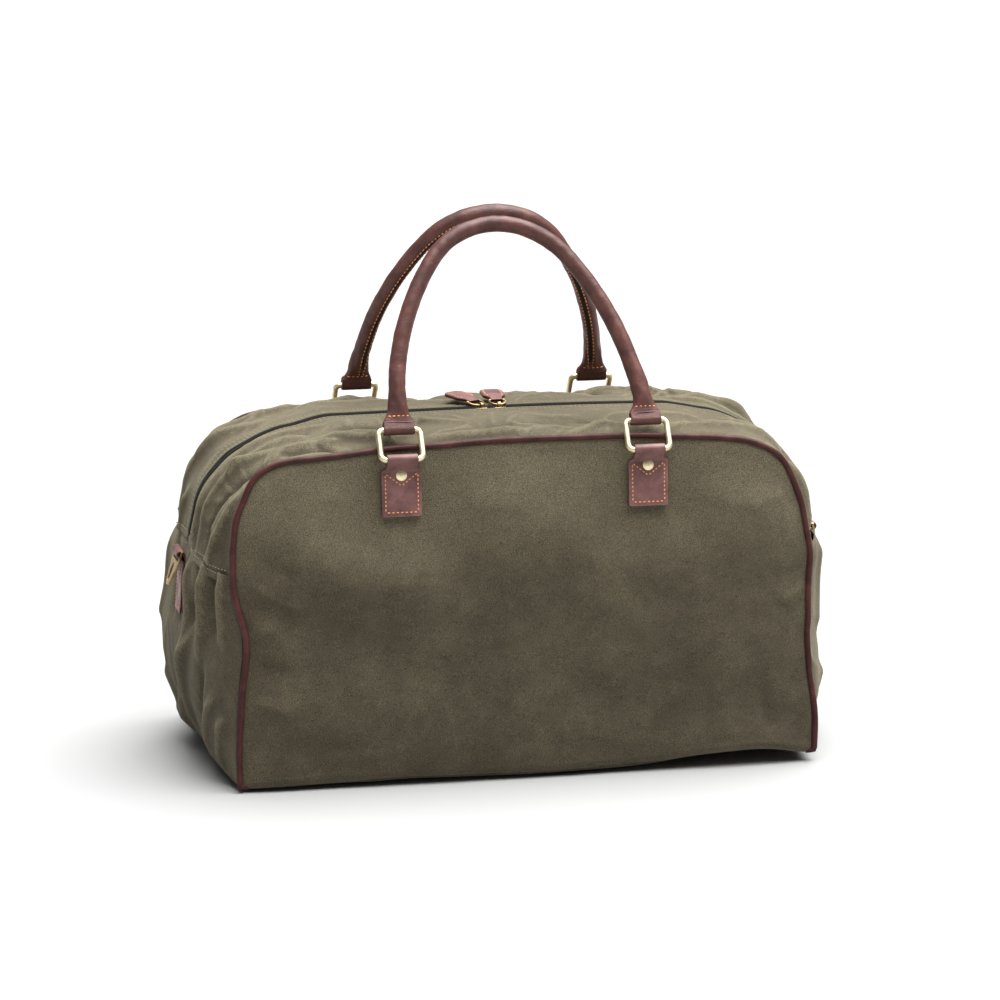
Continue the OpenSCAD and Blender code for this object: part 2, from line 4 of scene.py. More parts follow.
import bpy
import numpy as np
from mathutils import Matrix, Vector


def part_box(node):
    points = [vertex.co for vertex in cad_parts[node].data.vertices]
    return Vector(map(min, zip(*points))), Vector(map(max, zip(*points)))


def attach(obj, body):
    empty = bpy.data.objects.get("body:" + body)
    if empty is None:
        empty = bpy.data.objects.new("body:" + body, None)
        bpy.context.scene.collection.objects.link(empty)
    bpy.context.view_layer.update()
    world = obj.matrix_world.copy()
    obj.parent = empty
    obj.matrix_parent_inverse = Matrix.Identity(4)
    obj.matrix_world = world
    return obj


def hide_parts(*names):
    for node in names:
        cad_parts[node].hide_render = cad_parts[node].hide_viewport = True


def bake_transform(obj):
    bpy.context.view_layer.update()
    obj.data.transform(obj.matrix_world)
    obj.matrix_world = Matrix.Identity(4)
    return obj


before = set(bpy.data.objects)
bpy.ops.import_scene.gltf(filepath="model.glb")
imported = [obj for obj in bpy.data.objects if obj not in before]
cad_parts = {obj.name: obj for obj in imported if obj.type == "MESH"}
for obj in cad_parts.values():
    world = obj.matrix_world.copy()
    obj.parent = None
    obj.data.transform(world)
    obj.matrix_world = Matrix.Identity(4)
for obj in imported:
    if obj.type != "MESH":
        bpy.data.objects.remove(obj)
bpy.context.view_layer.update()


def box_mm(node):
    low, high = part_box(node)
    return np.array(low) * 1000, np.array(high) * 1000


# ---- sizes from the frame ----

PIPING_R = 2.6
CORNER_R = 62.0
CANVAS_T = 1.6
LEATHER_T = 2.0
CLOTH_T = 1.2  # canvas as drawn
LINING_T = 0.6
HEM_W = 190.0  # height of the seam between an end panel and the top strips
MOUTH_HALF = box_mm("front_mouth_flap")[1][0]
HALF_X = box_mm("front_piping")[1][0] - PIPING_R
PANEL_H = box_mm("front_piping")[1][2] - PIPING_R
HALF_Y = box_mm("base_panel")[1][1] - CANVAS_T
TOP_Y = 109.0  # half depth of the bag at the top seams
ZIP_HALF = 6.0
LEAN = math.atan((HALF_Y - TOP_Y) / PANEL_H)
TOP_W = PANEL_H / math.cos(LEAN)
SIDE_W = TOP_W - CORNER_R
FLAT_X = HALF_X - CORNER_R
ARC = CORNER_R * math.pi / 2
S_TOP = SIDE_W + ARC
S_RIGHT = S_TOP + 2 * FLAT_X
S_DOWN = S_RIGHT + ARC
S_END = S_DOWN + SIDE_W
S_MID = S_END / 2
RING_LEAN = math.radians(36)
HANDLE_LEAN = math.radians(23.5)


def node_centre(node):
    low, high = box_mm(node)
    return (low + high) / 2


RING_X = node_centre("ring_front_right")[0]
RING_Y, RING_Z = 120.2, 280.0  # lower bar of a handle ring, held by its chape
RING_H = 27.5  # from bar to bar
BAR_Y = RING_Y - RING_H * math.sin(RING_LEAN)
BAR_Z = RING_Z + RING_H * math.cos(RING_LEAN)
STRAP_HALF = 13.3  # half width of the straps that loop round the rings
LOOP_R = 3.6
END_BAR_X, END_BAR_Z = 281.73, 181.36
SLIDER_Z = 296.6
EYE_Z = 299.85  # centre of the slider's eye for the pull ring


# ---- small numeric helpers ----


def smooth(t):
    t = np.clip(t, 0, 1)
    return t * t * (3 - 2 * t)


def curve(table):
    """Smooth function through (position, value) pairs."""
    xs, ys = (np.array(c, float) for c in zip(*table))
    slope = np.gradient(ys, xs)

    def at(x):
        x = np.clip(np.asarray(x, float), xs[0], xs[-1])
        i = np.clip(np.searchsorted(xs, x) - 1, 0, len(xs) - 2)
        h = xs[i + 1] - xs[i]
        t = (x - xs[i]) / h
        return (
            (2 * t**3 - 3 * t**2 + 1) * ys[i]
            + (t**3 - 2 * t**2 + t) * h * slope[i]
            + (3 * t**2 - 2 * t**3) * ys[i + 1]
            + (t**3 - t**2) * h * slope[i + 1]
        )

    return at


def relax(path, times):
    """Rounds the bends of a path in place, its ends kept."""
    for _ in range(times):
        path[1:-1] = (path[:-2] + 2 * path[1:-1] + path[2:]) / 4


def waves(u, v, size, seed, octaves=9):
    """Smooth seeded unevenness of about unit height, with lumps about size across."""
    rng = np.random.default_rng(seed)
    total = 0
    for _ in range(octaves):
        angle = rng.uniform(0, math.pi)
        k = 2 * math.pi / (size * rng.uniform(1.2, 2.6))
        total = total + np.sin(k * (np.cos(angle) * u + np.sin(angle) * v) + rng.uniform(0, 2 * math.pi))
    return total / math.sqrt(octaves)


def ridges(u, v, lines):
    """Sum of folds; each line is (u0, v0, u1, v1, width, height)."""
    total = np.zeros(np.broadcast(u, v).shape)
    for u0, v0, u1, v1, width, height in lines:
        du, dv = u1 - u0, v1 - v0
        length = math.hypot(du, dv)
        t = ((u - u0) * du + (v - v0) * dv) / length**2
        side = ((u - u0) * dv - (v - v0) * du) / length
        side = side + 0.06 * length * np.sin(3.1 * t + u0)
        fade = smooth((t + 0.12) / 0.35) * smooth((1.12 - t) / 0.35)
        total += height * np.exp(-(np.abs(side / width) ** 1.5)) * fade
    return total


def crumple(u, v, size, seed):
    """Thin wandering wrinkles, 0 to 1, strong in some places and absent in others."""
    warped_u = u + 0.35 * size * waves(u, v, size * 1.6, seed)
    warped_v = v + 0.35 * size * waves(u, v, size * 1.6, seed + 1)
    line = np.abs(waves(warped_u, warped_v, size, seed + 2))
    where = smooth(0.5 + 0.6 * waves(u, v, size * 2.2, seed + 3))
    return np.exp(-((line / 0.26) ** 1.4)) * where


# ---- mesh helpers ----


def add_object(name, data):
    obj = bpy.data.objects.new(name, data)
    bpy.context.scene.collection.objects.link(obj)
    return obj


def mesh_object(name, points, faces, uv=None, attributes=None):
    mesh = bpy.data.meshes.new(name)
    points = np.asarray(points, float) / 1000
    mesh.vertices.add(len(points))
    mesh.vertices.foreach_set("co", points.astype(np.float32).ravel())
    sizes = np.array([len(f) for f in faces], np.int32)
    flat = np.concatenate([np.asarray(f, np.int32) for f in faces])
    mesh.loops.add(len(flat))
    mesh.loops.foreach_set("vertex_index", flat)
    mesh.polygons.add(len(faces))
    mesh.polygons.foreach_set("loop_start", np.concatenate([[0], np.cumsum(sizes)[:-1]]).astype(np.int32))
    mesh.polygons.foreach_set("use_smooth", np.ones(len(faces), bool))
    mesh.update(calc_edges=True)
    mesh.validate()
    if uv is not None:
        layer = mesh.uv_layers.new(name="UVMap")
        index = np.zeros(len(mesh.loops), np.int32)
        mesh.loops.foreach_get("vertex_index", index)
        layer.data.foreach_set("uv", (np.asarray(uv, float) / 1000)[index].astype(np.float32).ravel())
    for key, values in (attributes or {}).items():
        layer = mesh.attributes.new(key, "FLOAT", "POINT")
        layer.data.foreach_set("value", np.asarray(values, np.float32).ravel())
    return add_object(name, mesh)


def grid_faces(nu, nv, wrap_u=False, wrap_v=False, start=0):
    i = np.arange(nu if wrap_u else nu - 1)
    j = np.arange(nv if wrap_v else nv - 1)
    i, j = (a.ravel() for a in np.meshgrid(i, j, indexing="ij"))
    i1, j1 = (i + 1) % nu, (j + 1) % nv
    return np.stack([i * nv + j, i1 * nv + j, i1 * nv + j1, i * nv + j1], 1) + start


def sheet(name, grid, thickness, uv, attributes=None, flip=False):
    """Cloth or leather with a real thickness: the grid is its outer face."""
    nu, nv = grid.shape[:2]
    du = np.gradient(grid, axis=0)
    dv = np.gradient(grid, axis=1)
    normal = np.cross(du, dv)
    normal /= np.maximum(np.linalg.norm(normal, axis=2, keepdims=True), 1e-9)
    if flip:
        normal = -normal
    inner = grid - normal * thickness
    count = nu * nv
    points = np.concatenate([grid.reshape(-1, 3), inner.reshape(-1, 3)])
    outer_faces = grid_faces(nu, nv)
    inner_faces = outer_faces[:, ::-1] + count
    rim = []
    border = (
        [(i, 0) for i in range(nu)]
        + [(nu - 1, j) for j in range(1, nv)]
        + [(i, nv - 1) for i in range(nu - 2, -1, -1)]
        + [(0, j) for j in range(nv - 2, 0, -1)]
    )
    ids = [i * nv + j for i, j in border]
    for a, b in zip(ids, ids[1:] + ids[:1]):
        rim.append((b, a, a + count, b + count))
    faces = np.concatenate([outer_faces, inner_faces, np.array(rim)])
    if flip:
        faces = faces[:, ::-1]
    doubled = {k: np.concatenate([np.ravel(v)] * 2) for k, v in (attributes or {}).items()}
    return mesh_object(name, points, list(faces), np.concatenate([uv.reshape(-1, 2)] * 2), doubled)


def frames_along(path, up):
    """Tangent, side and normal at each point; up is the rough normal, one vector or one per point."""
    tangent = np.gradient(path, axis=0)
    tangent /= np.linalg.norm(tangent, axis=1, keepdims=True)
    up = np.broadcast_to(np.asarray(up, float), path.shape)
    side = np.cross(tangent, up)
    side /= np.maximum(np.linalg.norm(side, axis=1, keepdims=True), 1e-9)
    return tangent, side, np.cross(side, tangent)


def distance_along(path):
    step = np.linalg.norm(np.diff(path, axis=0), axis=1)
    return np.concatenate([[0], np.cumsum(step)])


def resample(path, step):
    d = distance_along(path)
    at = np.linspace(0, d[-1], max(2, int(round(d[-1] / step)) + 1))
    return np.stack([np.interp(at, d, path[:, k]) for k in range(path.shape[1])], 1)


def tube(name, path, radius, up, sides=20, sections=None):
    """Closed tube; sections may give (n, k, 2) outlines across side and normal in place of a circle."""
    _, side, normal = frames_along(path, up)
    n = len(path)
    if sections is None:
        a = np.linspace(0, 2 * math.pi, sides, endpoint=False)
        r = np.broadcast_to(np.asarray(radius, float), (n,))
        sections = np.stack([r[:, None] * np.cos(a), r[:, None] * np.sin(a)], 2)
    k = sections.shape[1]
    rings = path[:, None] + side[:, None] * sections[:, :, :1] + normal[:, None] * sections[:, :, 1:]
    points = np.concatenate([rings.reshape(-1, 3), path[:1], path[-1:]])
    faces = list(grid_faces(n, k, wrap_v=True))
    for j in range(k):
        faces.append((n * k, (j + 1) % k, j))
        faces.append((n * k + 1, (n - 1) * k + j, (n - 1) * k + (j + 1) % k))
    around = np.concatenate([[0], np.cumsum(np.linalg.norm(np.diff(sections[n // 2], axis=0), axis=1))])
    uv = np.stack(np.broadcast_arrays(distance_along(path)[:, None], around[None]), 2).reshape(-1, 2)
    uv = np.concatenate([uv, [[0, 0], [uv[-1, 0], 0]]])
    return mesh_object(name, points, faces, uv)


def rounded_section(half_w, half_t, r, n=5):
    """Rounded rectangle outline, widest first."""
    r = min(r, half_w * 0.98, half_t * 0.98)
    out = []
    for q, (sx, sy) in enumerate([(1, 1), (-1, 1), (-1, -1), (1, -1)]):
        for i in range(n):
            a = math.pi / 2 * (q + i / (n - 1))
            out.append((sx * (half_w - r) + r * math.cos(a), sy * (half_t - r) + r * math.sin(a)))
    return np.array(out)


def strap(name, path, half_widths, thickness, up, bow=None):
    """Leather strap with rounded edges along path; half_widths at each point; bow lifts the middle."""
    _, side, normal = frames_along(path, up)
    n = len(path)
    across = np.concatenate([[-1, -0.985, -0.93], np.linspace(-0.85, 0.85, 11), [0.93, 0.985, 1]])
    profile = np.array([0.35, 0.75, 0.95] + [1] * 11 + [0.95, 0.75, 0.35])
    w = np.broadcast_to(np.asarray(half_widths, float), (n,))
    half_t = np.broadcast_to(np.asarray(thickness, float), (n,)) / 2
    lift = np.zeros(n) if bow is None else np.broadcast_to(bow, (n,))
    lateral = across * np.maximum(w[:, None], 1e-6)
    crown = lift[:, None] * (1 - across**2)
    top = crown + half_t[:, None] * profile
    bottom = crown - half_t[:, None] * profile
    sections_x = np.concatenate([lateral, lateral[:, ::-1]], 1)
    sections_y = np.concatenate([top, bottom[:, ::-1]], 1)
    rings = path[:, None] + side[:, None] * sections_x[:, :, None]
    rings = rings + normal[:, None] * sections_y[:, :, None]
    k = rings.shape[1]
    m = len(across)
    faces = list(grid_faces(n, k, wrap_v=True)[:, ::-1])
    for j in range(m - 1):
        faces.append((j, j + 1, k - 2 - j, k - 1 - j))
        b = (n - 1) * k
        faces.append((b + j + 1, b + j, b + k - 1 - j, b + k - 2 - j))
    d = distance_along(path)
    uv = np.stack([np.broadcast_to(d[:, None], sections_x.shape), sections_x], 2).reshape(-1, 2)
    to_side = w[:, None] * (1 - np.abs(np.concatenate([across, across[::-1]])))
    margin = np.minimum(to_side, np.minimum(d, d[-1] - d)[:, None])
    return mesh_object(name, rings.reshape(-1, 3), faces, uv, {"margin": margin})


def stitches(name, rows, length=2.5, gap=1.0, radius=0.42, bury=0.12):
    """One mesh of thread stitches; rows is a list of (points, outward normals)."""
    sides, rings = 6, 5
    points, faces = [], []
    a = np.linspace(0, 2 * math.pi, sides, endpoint=False)
    t = np.linspace(-1, 1, rings)
    profile = np.sqrt(np.clip(1 - t**2, 0.03, 1)) ** 0.7
    arch = (1 - t**2) * radius * 0.9 - radius * 0.55 - bury
    for path, normals in rows:
        path = np.asarray(path, float)
        normals = np.broadcast_to(np.asarray(normals, float), path.shape)
        d = distance_along(path)
        pitch = d[-1] / max(1, round(d[-1] / (length + gap)))
        centres = np.arange(pitch / 2, d[-1], pitch)
        for c in centres:
            ends = [np.array([np.interp(c + e, d, path[:, k]) for k in range(3)]) for e in (-0.5, 0.5)]
            tangent = ends[1] - ends[0]
            tangent /= np.linalg.norm(tangent)
            normal = np.array([np.interp(c, d, normals[:, k]) for k in range(3)])
            normal -= tangent * (normal @ tangent)
            normal /= np.linalg.norm(normal)
            side = np.cross(tangent, normal)
            middle = (ends[0] + ends[1]) / 2
            half = length / 2 * pitch / (length + gap)
            base = len(points) * sides * rings
            spokes = side * np.cos(a)[:, None] + normal * np.sin(a)[:, None]
            ring = (
                middle
                + tangent * (t * half)[:, None, None]
                + normal * arch[:, None, None]
                + spokes[None] * (radius * profile)[:, None, None]
            )
            points.append(ring.reshape(-1, 3))
            faces.append(grid_faces(rings, sides, wrap_v=True, start=base))
    return mesh_object(name, np.concatenate(points), list(np.concatenate(faces)))


def subdivide(obj, levels=1):
    modifier = obj.modifiers.new("subdivision", "SUBSURF")
    modifier.levels = modifier.render_levels = levels
    return obj


# ---- body shape ----

# Distances along the seams run from the left foot up, over the top and down to the right foot.
SEAM_OUT_FRONT = curve([
    (0, 3), (37, 3), (63, 1.2), (80, -0.4), (97, -2.4), (110, -4.3), (123, -5.5), (133, -5.1),
    (148, -1.8), (163, 2.3), (174, 4.2), (200, 4.6), (225, 2.2), (252, -1), (272, 0.8), (289, -0.8),
    (315, -4.6), (342, -3.4), (402, 1.8), (433, 2.3), (469, 4.2), (505, 4.9), (550, 4.6), (614, 3.8),
    (648, 1.4), (670, 0), (695, -2.6), (711, -4), (742, -4.4), (758, -6.2), (774, -6.4), (797, -2.3),
    (815, 0.6), (833, 3.4), (851, 2), (869, 1.2), (887, 1.1), (905, 0), (923, 1), (941, 2.2), (959, 5),
    (976, 6.4), (995, 6), (S_END, 5.2),
])
SEAM_OUT_BACK = curve([
    (0, 4), (60, 3), (110, -1), (150, -4), (190, -3), (225, -3), (262, -4), (300, -6), (340, -6),
    (400, -4.5), (460, -3.5), (530, -3), (600, -3), (650, -3), (690, -3), (730, -4), (790, 1),
    (830, 2), (880, -3), (930, 0), (S_END, 4),
])
SWELL = curve([
    (0, 5), (20, 14), (45, 21.5), (64, 28.5), (90, 35), (110, 37.5), (125, 37), (150, 33.5), (180, 27),
    (198, 24), (216, 21), (225, 19.5), (236, 16.5), (256, 9.5), (281, 3.5), (300, 5), (318, 8),
    (331, 9.6), (345, 10.6), (374, 11), (640, 11), (656, 10.5), (671, 8.5), (690, 6.5), (711, 4.5),
    (738, 4.5), (763, 9.5), (780, 13), (791, 16), (806, 19), (836, 24), (866, 28.5), (896, 32),
    (926, 34.5), (971, 27), (996, 17), (S_END, 8),
])
REAR_SWELL = curve([
    (0, 5), (45, 5.5), (90, 7.5), (115, 7.5), (140, 4.5), (180, 4), (200, 2), (216, 1.5), (228, 2),
    (243, 3.5), (258, 10), (272, 22), (285, 28), (296, 24), (308, 5), (S_END / 2, 5), (S_END, 5),
])


def seam_out(s, side):
    """How far the front (side -1) or back (side 1) seam strays outward from the panel outline."""
    return (SEAM_OUT_FRONT if side < 0 else SEAM_OUT_BACK)(s)


def seam_y(w):
    return HALF_Y - w * math.sin(LEAN)


def outline(s):
    """x, height along the panel and outward angle of the panel outline at a distance along it."""
    s = np.asarray(s, float)
    a = np.select(
        [s <= SIDE_W, s < S_TOP, s <= S_RIGHT, s < S_DOWN],
        [math.pi, math.pi - (s - SIDE_W) / CORNER_R, math.pi / 2, math.pi / 2 - (s - S_RIGHT) / CORNER_R],
        0.0,
    )
    x = np.select(
        [s <= SIDE_W, s < S_TOP, s <= S_RIGHT, s < S_DOWN],
        [-HALF_X, -FLAT_X + CORNER_R * np.cos(a), s - S_TOP - FLAT_X, FLAT_X + CORNER_R * np.cos(a)],
        HALF_X,
    )
    w = np.select(
        [s <= SIDE_W, s < S_TOP, s <= S_RIGHT, s < S_DOWN],
        [s, SIDE_W + CORNER_R * np.sin(a), TOP_W, SIDE_W + CORNER_R * np.sin(a)],
        S_END - s,
    )
    return x, w, a


def seam_flat(s, out):
    x, w, a = outline(s)
    return x + np.cos(a) * out, w + np.sin(a) * out


FRONT_LIFT = curve([
    (-254, 2.0), (-215, 2.2), (-165, 3.2), (-107, 4.8), (-50, 4.0), (-3, 3.2), (45, 3.6), (87, 4.9),
    (115, 6.2), (147, 9.6), (180, 11.6), (208, 12.0), (225, 10.0), (240, 7.3), (254, 6.8),
])


def lift(x, y):
    """Where the front edge of the base stands a little clear of the floor."""
    return smooth((-y - 20) / 90) * FRONT_LIFT(x)


def settle(points):
    """Raises the foot of the body by the lift, fading out upwards."""
    fade = 1 - smooth(points[..., 2] / 60)
    points[..., 2] += lift(points[..., 0], points[..., 1]) * fade
    return points


def seam_point(s, side, out=0.0):
    """Point of the front (side -1) or back (side 1) seam."""
    x, w = seam_flat(s, seam_out(s, side) + out)
    return np.stack([x, side * seam_y(w), w * math.cos(LEAN)], -1)


def band_point(s, y, depth=0.0, folds=None):
    """Point of the band round the body, y across it; folds is a height field of (s, y)."""
    s, y = np.broadcast_arrays(np.asarray(s, float), np.asarray(y, float))
    x, w, a = outline(s)
    v = y / seam_y(w)
    xf, wf = seam_flat(s, seam_out(s, -1))
    xb, wb = seam_flat(s, seam_out(s, 1))
    mouth = smooth((TOP_Y - 12 - np.abs(y)) / 30) * smooth((MOUTH_HALF + 35 - np.abs(x)) / 40)
    middle = mouth * (w > TOP_W - 1)
    mix = (1 + v) / 2
    bx = (xf * (1 - mix) + xb * mix) * (1 - middle) + x * middle
    bw = (wf * (1 - mix) + wb * mix) * (1 - middle) + w * middle
    ends = smooth((np.abs(np.degrees(a) - 90) - 20) / 60)
    left = ends * (s < S_MID)
    power = 2 - 0.25 * ends + 2.0 * left
    rear = smooth(1 - np.abs(v - 0.45) / 0.5) * smooth(w / 50)
    out = SWELL(s) * (1 - np.abs(v) ** power) + REAR_SWELL(s) * left * rear - depth
    out = out + 1.5 * (s > S_MID) * smooth(1 - np.abs(v + 0.6) / 0.4) * smooth(1 - np.abs(w - 176) / 26)
    if folds is not None:
        out = out + folds(s, y)
    bx = bx + np.cos(a) * out
    bz = bw * math.cos(LEAN) + np.sin(a) * out
    return np.stack([bx, y, bz], -1)


# Creases: ends as (s, y) and (s, y) on the sheet, then width and height.
TOP_FOLDS = [
    (192, -34, 300, -30, 5, 3.0), (192, -47, 330, -46, 5, -3.2), (190, -60, 300, -66, 5, 3.6),
    (190, -76, 290, -86, 5, -3.4), (191, -92, 262, -100, 4, 2.8), (232, -24, 350, -36, 5, 2.4),
    (258, -74, 330, -52, 5, 3.0), (290, -96, 352, -74, 5, 3.4), (300, -88, 346, -94, 4, -3.0),
    (340, -66, 404, -98, 5, 2.8), (352, -50, 420, -58, 6, -2.4), (376, -84, 420, -64, 5, 2.6),
    (410, -36, 470, -42, 6, 1.8), (430, -96, 540, -80, 6, 2.2), (470, -58, 560, -66, 7, -1.6),
    (560, -92, 640, -80, 6, 2.0), (590, -50, 680, -64, 7, 2.0), (612, -98, 660, -78, 5, 2.6),
    (660, -84, 760, -70, 6, 2.8), (700, -44, 800, -56, 6, 2.8), (740, -96, 800, -80, 5, -2.8),
    (760, -66, 824, -70, 5, 3.0), (786, -36, 826, -40, 5, 2.6), (430, -92, 472, -60, 4, 1.5),
    (455, -101, 504, -88, 4, 1.5), (478, -68, 520, -92, 4, -1.3), (505, -58, 560, -86, 4, 1.5),
    (545, -99, 594, -80, 4, 1.5), (560, -58, 612, -78, 4, -1.4), (600, -94, 642, -64, 4, 1.5),
    (390, -98, 424, -72, 4, 1.6), (330, -78, 360, -102, 4, -1.6), (520, -36, 566, -48, 5, 1.2),
]
FOLD_ENDS = 1015  # the back's creases are the front's turned half round, s becoming FOLD_ENDS - s
TOP_FOLDS_BACK = [
    (FOLD_ENDS - s0, -y0, FOLD_ENDS - s1, -y1, w, h) for s0, y0, s1, y1, w, h in TOP_FOLDS
]


def top_folds(s, y):
    """Soft creases of the top strips, calm beside the zip."""
    calm = smooth((np.abs(y) - 16) / 16)
    rim = seam_y(outline(s)[1]) - np.abs(y)
    field = 1.1 * waves(s * 0.7, y, 34, 11) + 1.3 * crumple(s, y * 0.6, 30, 13)
    field = field + 0.7 * crumple(s, y * 0.7, 15, 17)
    field = field - 1.8 * np.exp(-(((rim - 7) / 5) ** 2))
    field = field + 2.1 * (ridges(s, y, TOP_FOLDS) + ridges(s, y, TOP_FOLDS_BACK))
    return field * calm * smooth(rim / 10)


END_FOLDS = [
    (190, -104, 120, -110, 5, 3.4), (190, -92, 128, -96, 5, -3.6), (190, -78, 104, -82, 5, 3.8),
    (190, -62, 130, -58, 5, -3.4), (188, -44, 84, -32, 6, 3.4), (186, -30, 140, -26, 5, -2.4),
    (188, 34, 120, 26, 6, -2.6), (188, 70, 100, 78, 7, 3.0), (188, 96, 130, 100, 6, -2.8),
    (118, -60, 34, -6, 6, 4.2), (100, -84, 22, -46, 6, -3.2), (78, -100, 20, -74, 5, 2.8),
    (90, -24, 16, 30, 7, 2.8), (64, 60, 14, 20, 7, 2.8), (86, 98, 20, 84, 6, -2.6),
    (60, -112, 14, -100, 5, 2.6),
]


def end_folds(s, y):
    """Creases of the end panels, none under the tab; the right end mirrors the left one."""
    w = np.minimum(s, S_END - s)
    edge = smooth((seam_y(w) - np.abs(y)) / 12) * smooth(w / 14)
    tab = 1 - smooth((22 - np.abs(y)) / 8) * smooth((w - 116) / 10)
    left = np.asarray(s) < S_MID
    u = np.where(left, s, S_END - s)
    y2 = np.where(left, y, -y * 0.93)
    field = 1.5 * waves(u * 0.7, y2, 52, 21) + 1.5 * crumple(u * 0.45, y2, 34, 24)
    field = field + 0.6 * crumple(u * 0.5, y2, 18, 28)
    field = field + 1.9 * ridges(u, y2, END_FOLDS)
    return field * edge * tab


# ---- materials ----


def srgb(*levels):
    """Linear colour of three levels from 0 to 255."""
    parts = [c / 255 for c in levels]
    return tuple(c / 12.92 if c <= 0.04045 else ((c + 0.055) / 1.055) ** 2.4 for c in parts) + (1,)


def set_range(node, *values):
    for key, value in zip(("From Min", "From Max", "To Min", "To Max"), values):
        node.inputs[key].default_value = value


class Shader:
    """Small helper to write a node material."""

    def __init__(self, name):
        self.material = bpy.data.materials.new(name)
        self.material.use_nodes = True
        self.tree = self.material.node_tree
        self.bsdf = self.tree.nodes["Principled BSDF"]
        self.coords = self.node("ShaderNodeTexCoord")

    def node(self, kind, **values):
        node = self.tree.nodes.new(kind)
        for key, value in values.items():
            setattr(node, key, value)
        return node

    def link(self, a, b):
        self.tree.links.new(a, b)

    def scaled(self, scale, output="Object"):
        mapping = self.node("ShaderNodeMapping")
        mapping.inputs["Scale"].default_value = scale if hasattr(scale, "__len__") else (scale,) * 3
        self.link(self.coords.outputs[output], mapping.inputs["Vector"])
        return mapping.outputs["Vector"]

    def noise(self, scale, detail=2.0, roughness=0.5, distortion=0.0):
        node = self.node("ShaderNodeTexNoise")
        node.inputs["Scale"].default_value = 1.0
        node.inputs["Detail"].default_value = detail
        node.inputs["Roughness"].default_value = roughness
        node.inputs["Distortion"].default_value = distortion
        self.link(self.scaled(scale), node.inputs["Vector"])
        return node.outputs["Fac"]

    def pebbles(self, scale):
        node = self.node("ShaderNodeTexVoronoi", feature="SMOOTH_F1")
        node.inputs["Scale"].default_value = 1.0
        self.link(self.scaled(scale), node.inputs["Vector"])
        return node.outputs["Distance"]

    def bands(self, scale, axis):
        node = self.node("ShaderNodeTexWave", wave_type="BANDS", bands_direction=axis)
        node.inputs["Scale"].default_value = 1.0
        node.inputs["Distortion"].default_value = 0.6
        node.inputs["Detail"].default_value = 1.0
        self.link(self.scaled(scale, "UV"), node.inputs["Vector"])
        return node.outputs["Fac"]

    def attribute(self, name):
        node = self.node("ShaderNodeAttribute", attribute_name=name)
        return node.outputs["Fac"]

    def ramp(self, value, stops):
        node = self.node("ShaderNodeValToRGB")
        elements = node.color_ramp.elements
        elements[0].position, elements[0].color = stops[0]
        elements[1].position, elements[1].color = stops[-1]
        for position, colour in stops[1:-1]:
            element = elements.new(position)
            element.color = colour
        self.link(value, node.inputs["Fac"])
        return node.outputs["Color"]

    def grey(self, value, low, high, a=0.0, b=1.0):
        """Remaps value from low..high to a..b."""
        node = self.node("ShaderNodeMapRange")
        set_range(node, low, high, a, b)
        self.link(value, node.inputs["Value"])
        return node.outputs["Result"]

    def math(self, operation, a, b):
        node = self.node("ShaderNodeMath", operation=operation)
        for socket, value in zip(node.inputs, (a, b)):
            if isinstance(value, (int, float)):
                socket.default_value = value
            else:
                self.link(value, socket)
        return node.outputs["Value"]

    def mix(self, factor, a, b, blend="MIX"):
        node = self.node("ShaderNodeMix", data_type="RGBA", blend_type=blend)
        for socket, value in ((node.inputs["Factor"], factor), (node.inputs[6], a), (node.inputs[7], b)):
            if isinstance(value, (int, float, tuple)):
                socket.default_value = value
            else:
                self.link(value, socket)
        return node.outputs[2]

    def bump(self, height, distance_mm, strength=1.0, below=None):
        node = self.node("ShaderNodeBump")
        node.inputs["Strength"].default_value = strength
        node.inputs["Distance"].default_value = distance_mm / 1000
        self.link(height, node.inputs["Height"])
        if below is not None:
            self.link(below, node.inputs["Normal"])
        return node.outputs["Normal"]

    def finish(self, colour, roughness, normal=None, **constants):
        for socket, value in (("Base Color", colour), ("Roughness", roughness)):
            if isinstance(value, (int, float, tuple)):
                self.bsdf.inputs[socket].default_value = value
            else:
                self.link(value, self.bsdf.inputs[socket])
        if normal is not None:
            self.link(normal, self.bsdf.inputs["Normal"])
        for key, value in constants.items():
            self.bsdf.inputs[key.replace("_", " ")].default_value = value
        return self.material


def canvas_material():
    """Waxed cotton: cloudy wax, a fine weave, and paler wax along the creases, with painted light making
    the upper walls and the top strips paler.
    """
    s = Shader("waxed_canvas")
    mottle = s.noise(16, 3, 0.55)
    cloud = s.noise(70, 4, 0.6)
    grain = s.noise(1300, 2, 0.7)
    dark, base, pale = srgb(64, 57, 45), srgb(74, 67, 53), srgb(87, 80, 63)
    tone = s.math("ADD", s.math("MULTIPLY", mottle, 0.6), s.math("MULTIPLY", cloud, 0.4))
    colour = s.ramp(tone, [(0.33, dark), (0.5, base), (0.69, pale)])
    # Pale wax colour mixed in along sharp creases, and also as painted light towards the top of the bag.
    crease = s.grey(s.attribute("crease"), 0.1, 1.0, 0.0, 0.46)
    colour = s.mix(crease, colour, srgb(122, 114, 92))
    speck = s.grey(grain, 0.36, 0.64, 0.45, 1.55)
    thread = s.ramp(s.grey(speck, 0, 2), [(0, (0, 0, 0, 1)), (1, (2, 2, 2, 1))])
    colour = s.mix(1.0, colour, thread, "MULTIPLY")
    weave = s.math("ADD", s.bands(7200, "X"), s.bands(7200, "Y"))
    streak = s.noise((30, 30, 90), 3, 0.55)
    soft = s.bump(streak, 1.3, 0.5)
    surface = s.math("ADD", s.math("MULTIPLY", weave, 0.5), grain)
    normal = s.bump(surface, 0.10, 0.55, soft)
    rough = s.grey(mottle, 0.3, 0.7, 0.93, 0.74)
    return s.finish(colour, rough, normal, Sheen_Weight=0.28, Sheen_Roughness=0.5, Specular_IOR_Level=0.2,
                    Sheen_Tint=srgb(214, 206, 178))


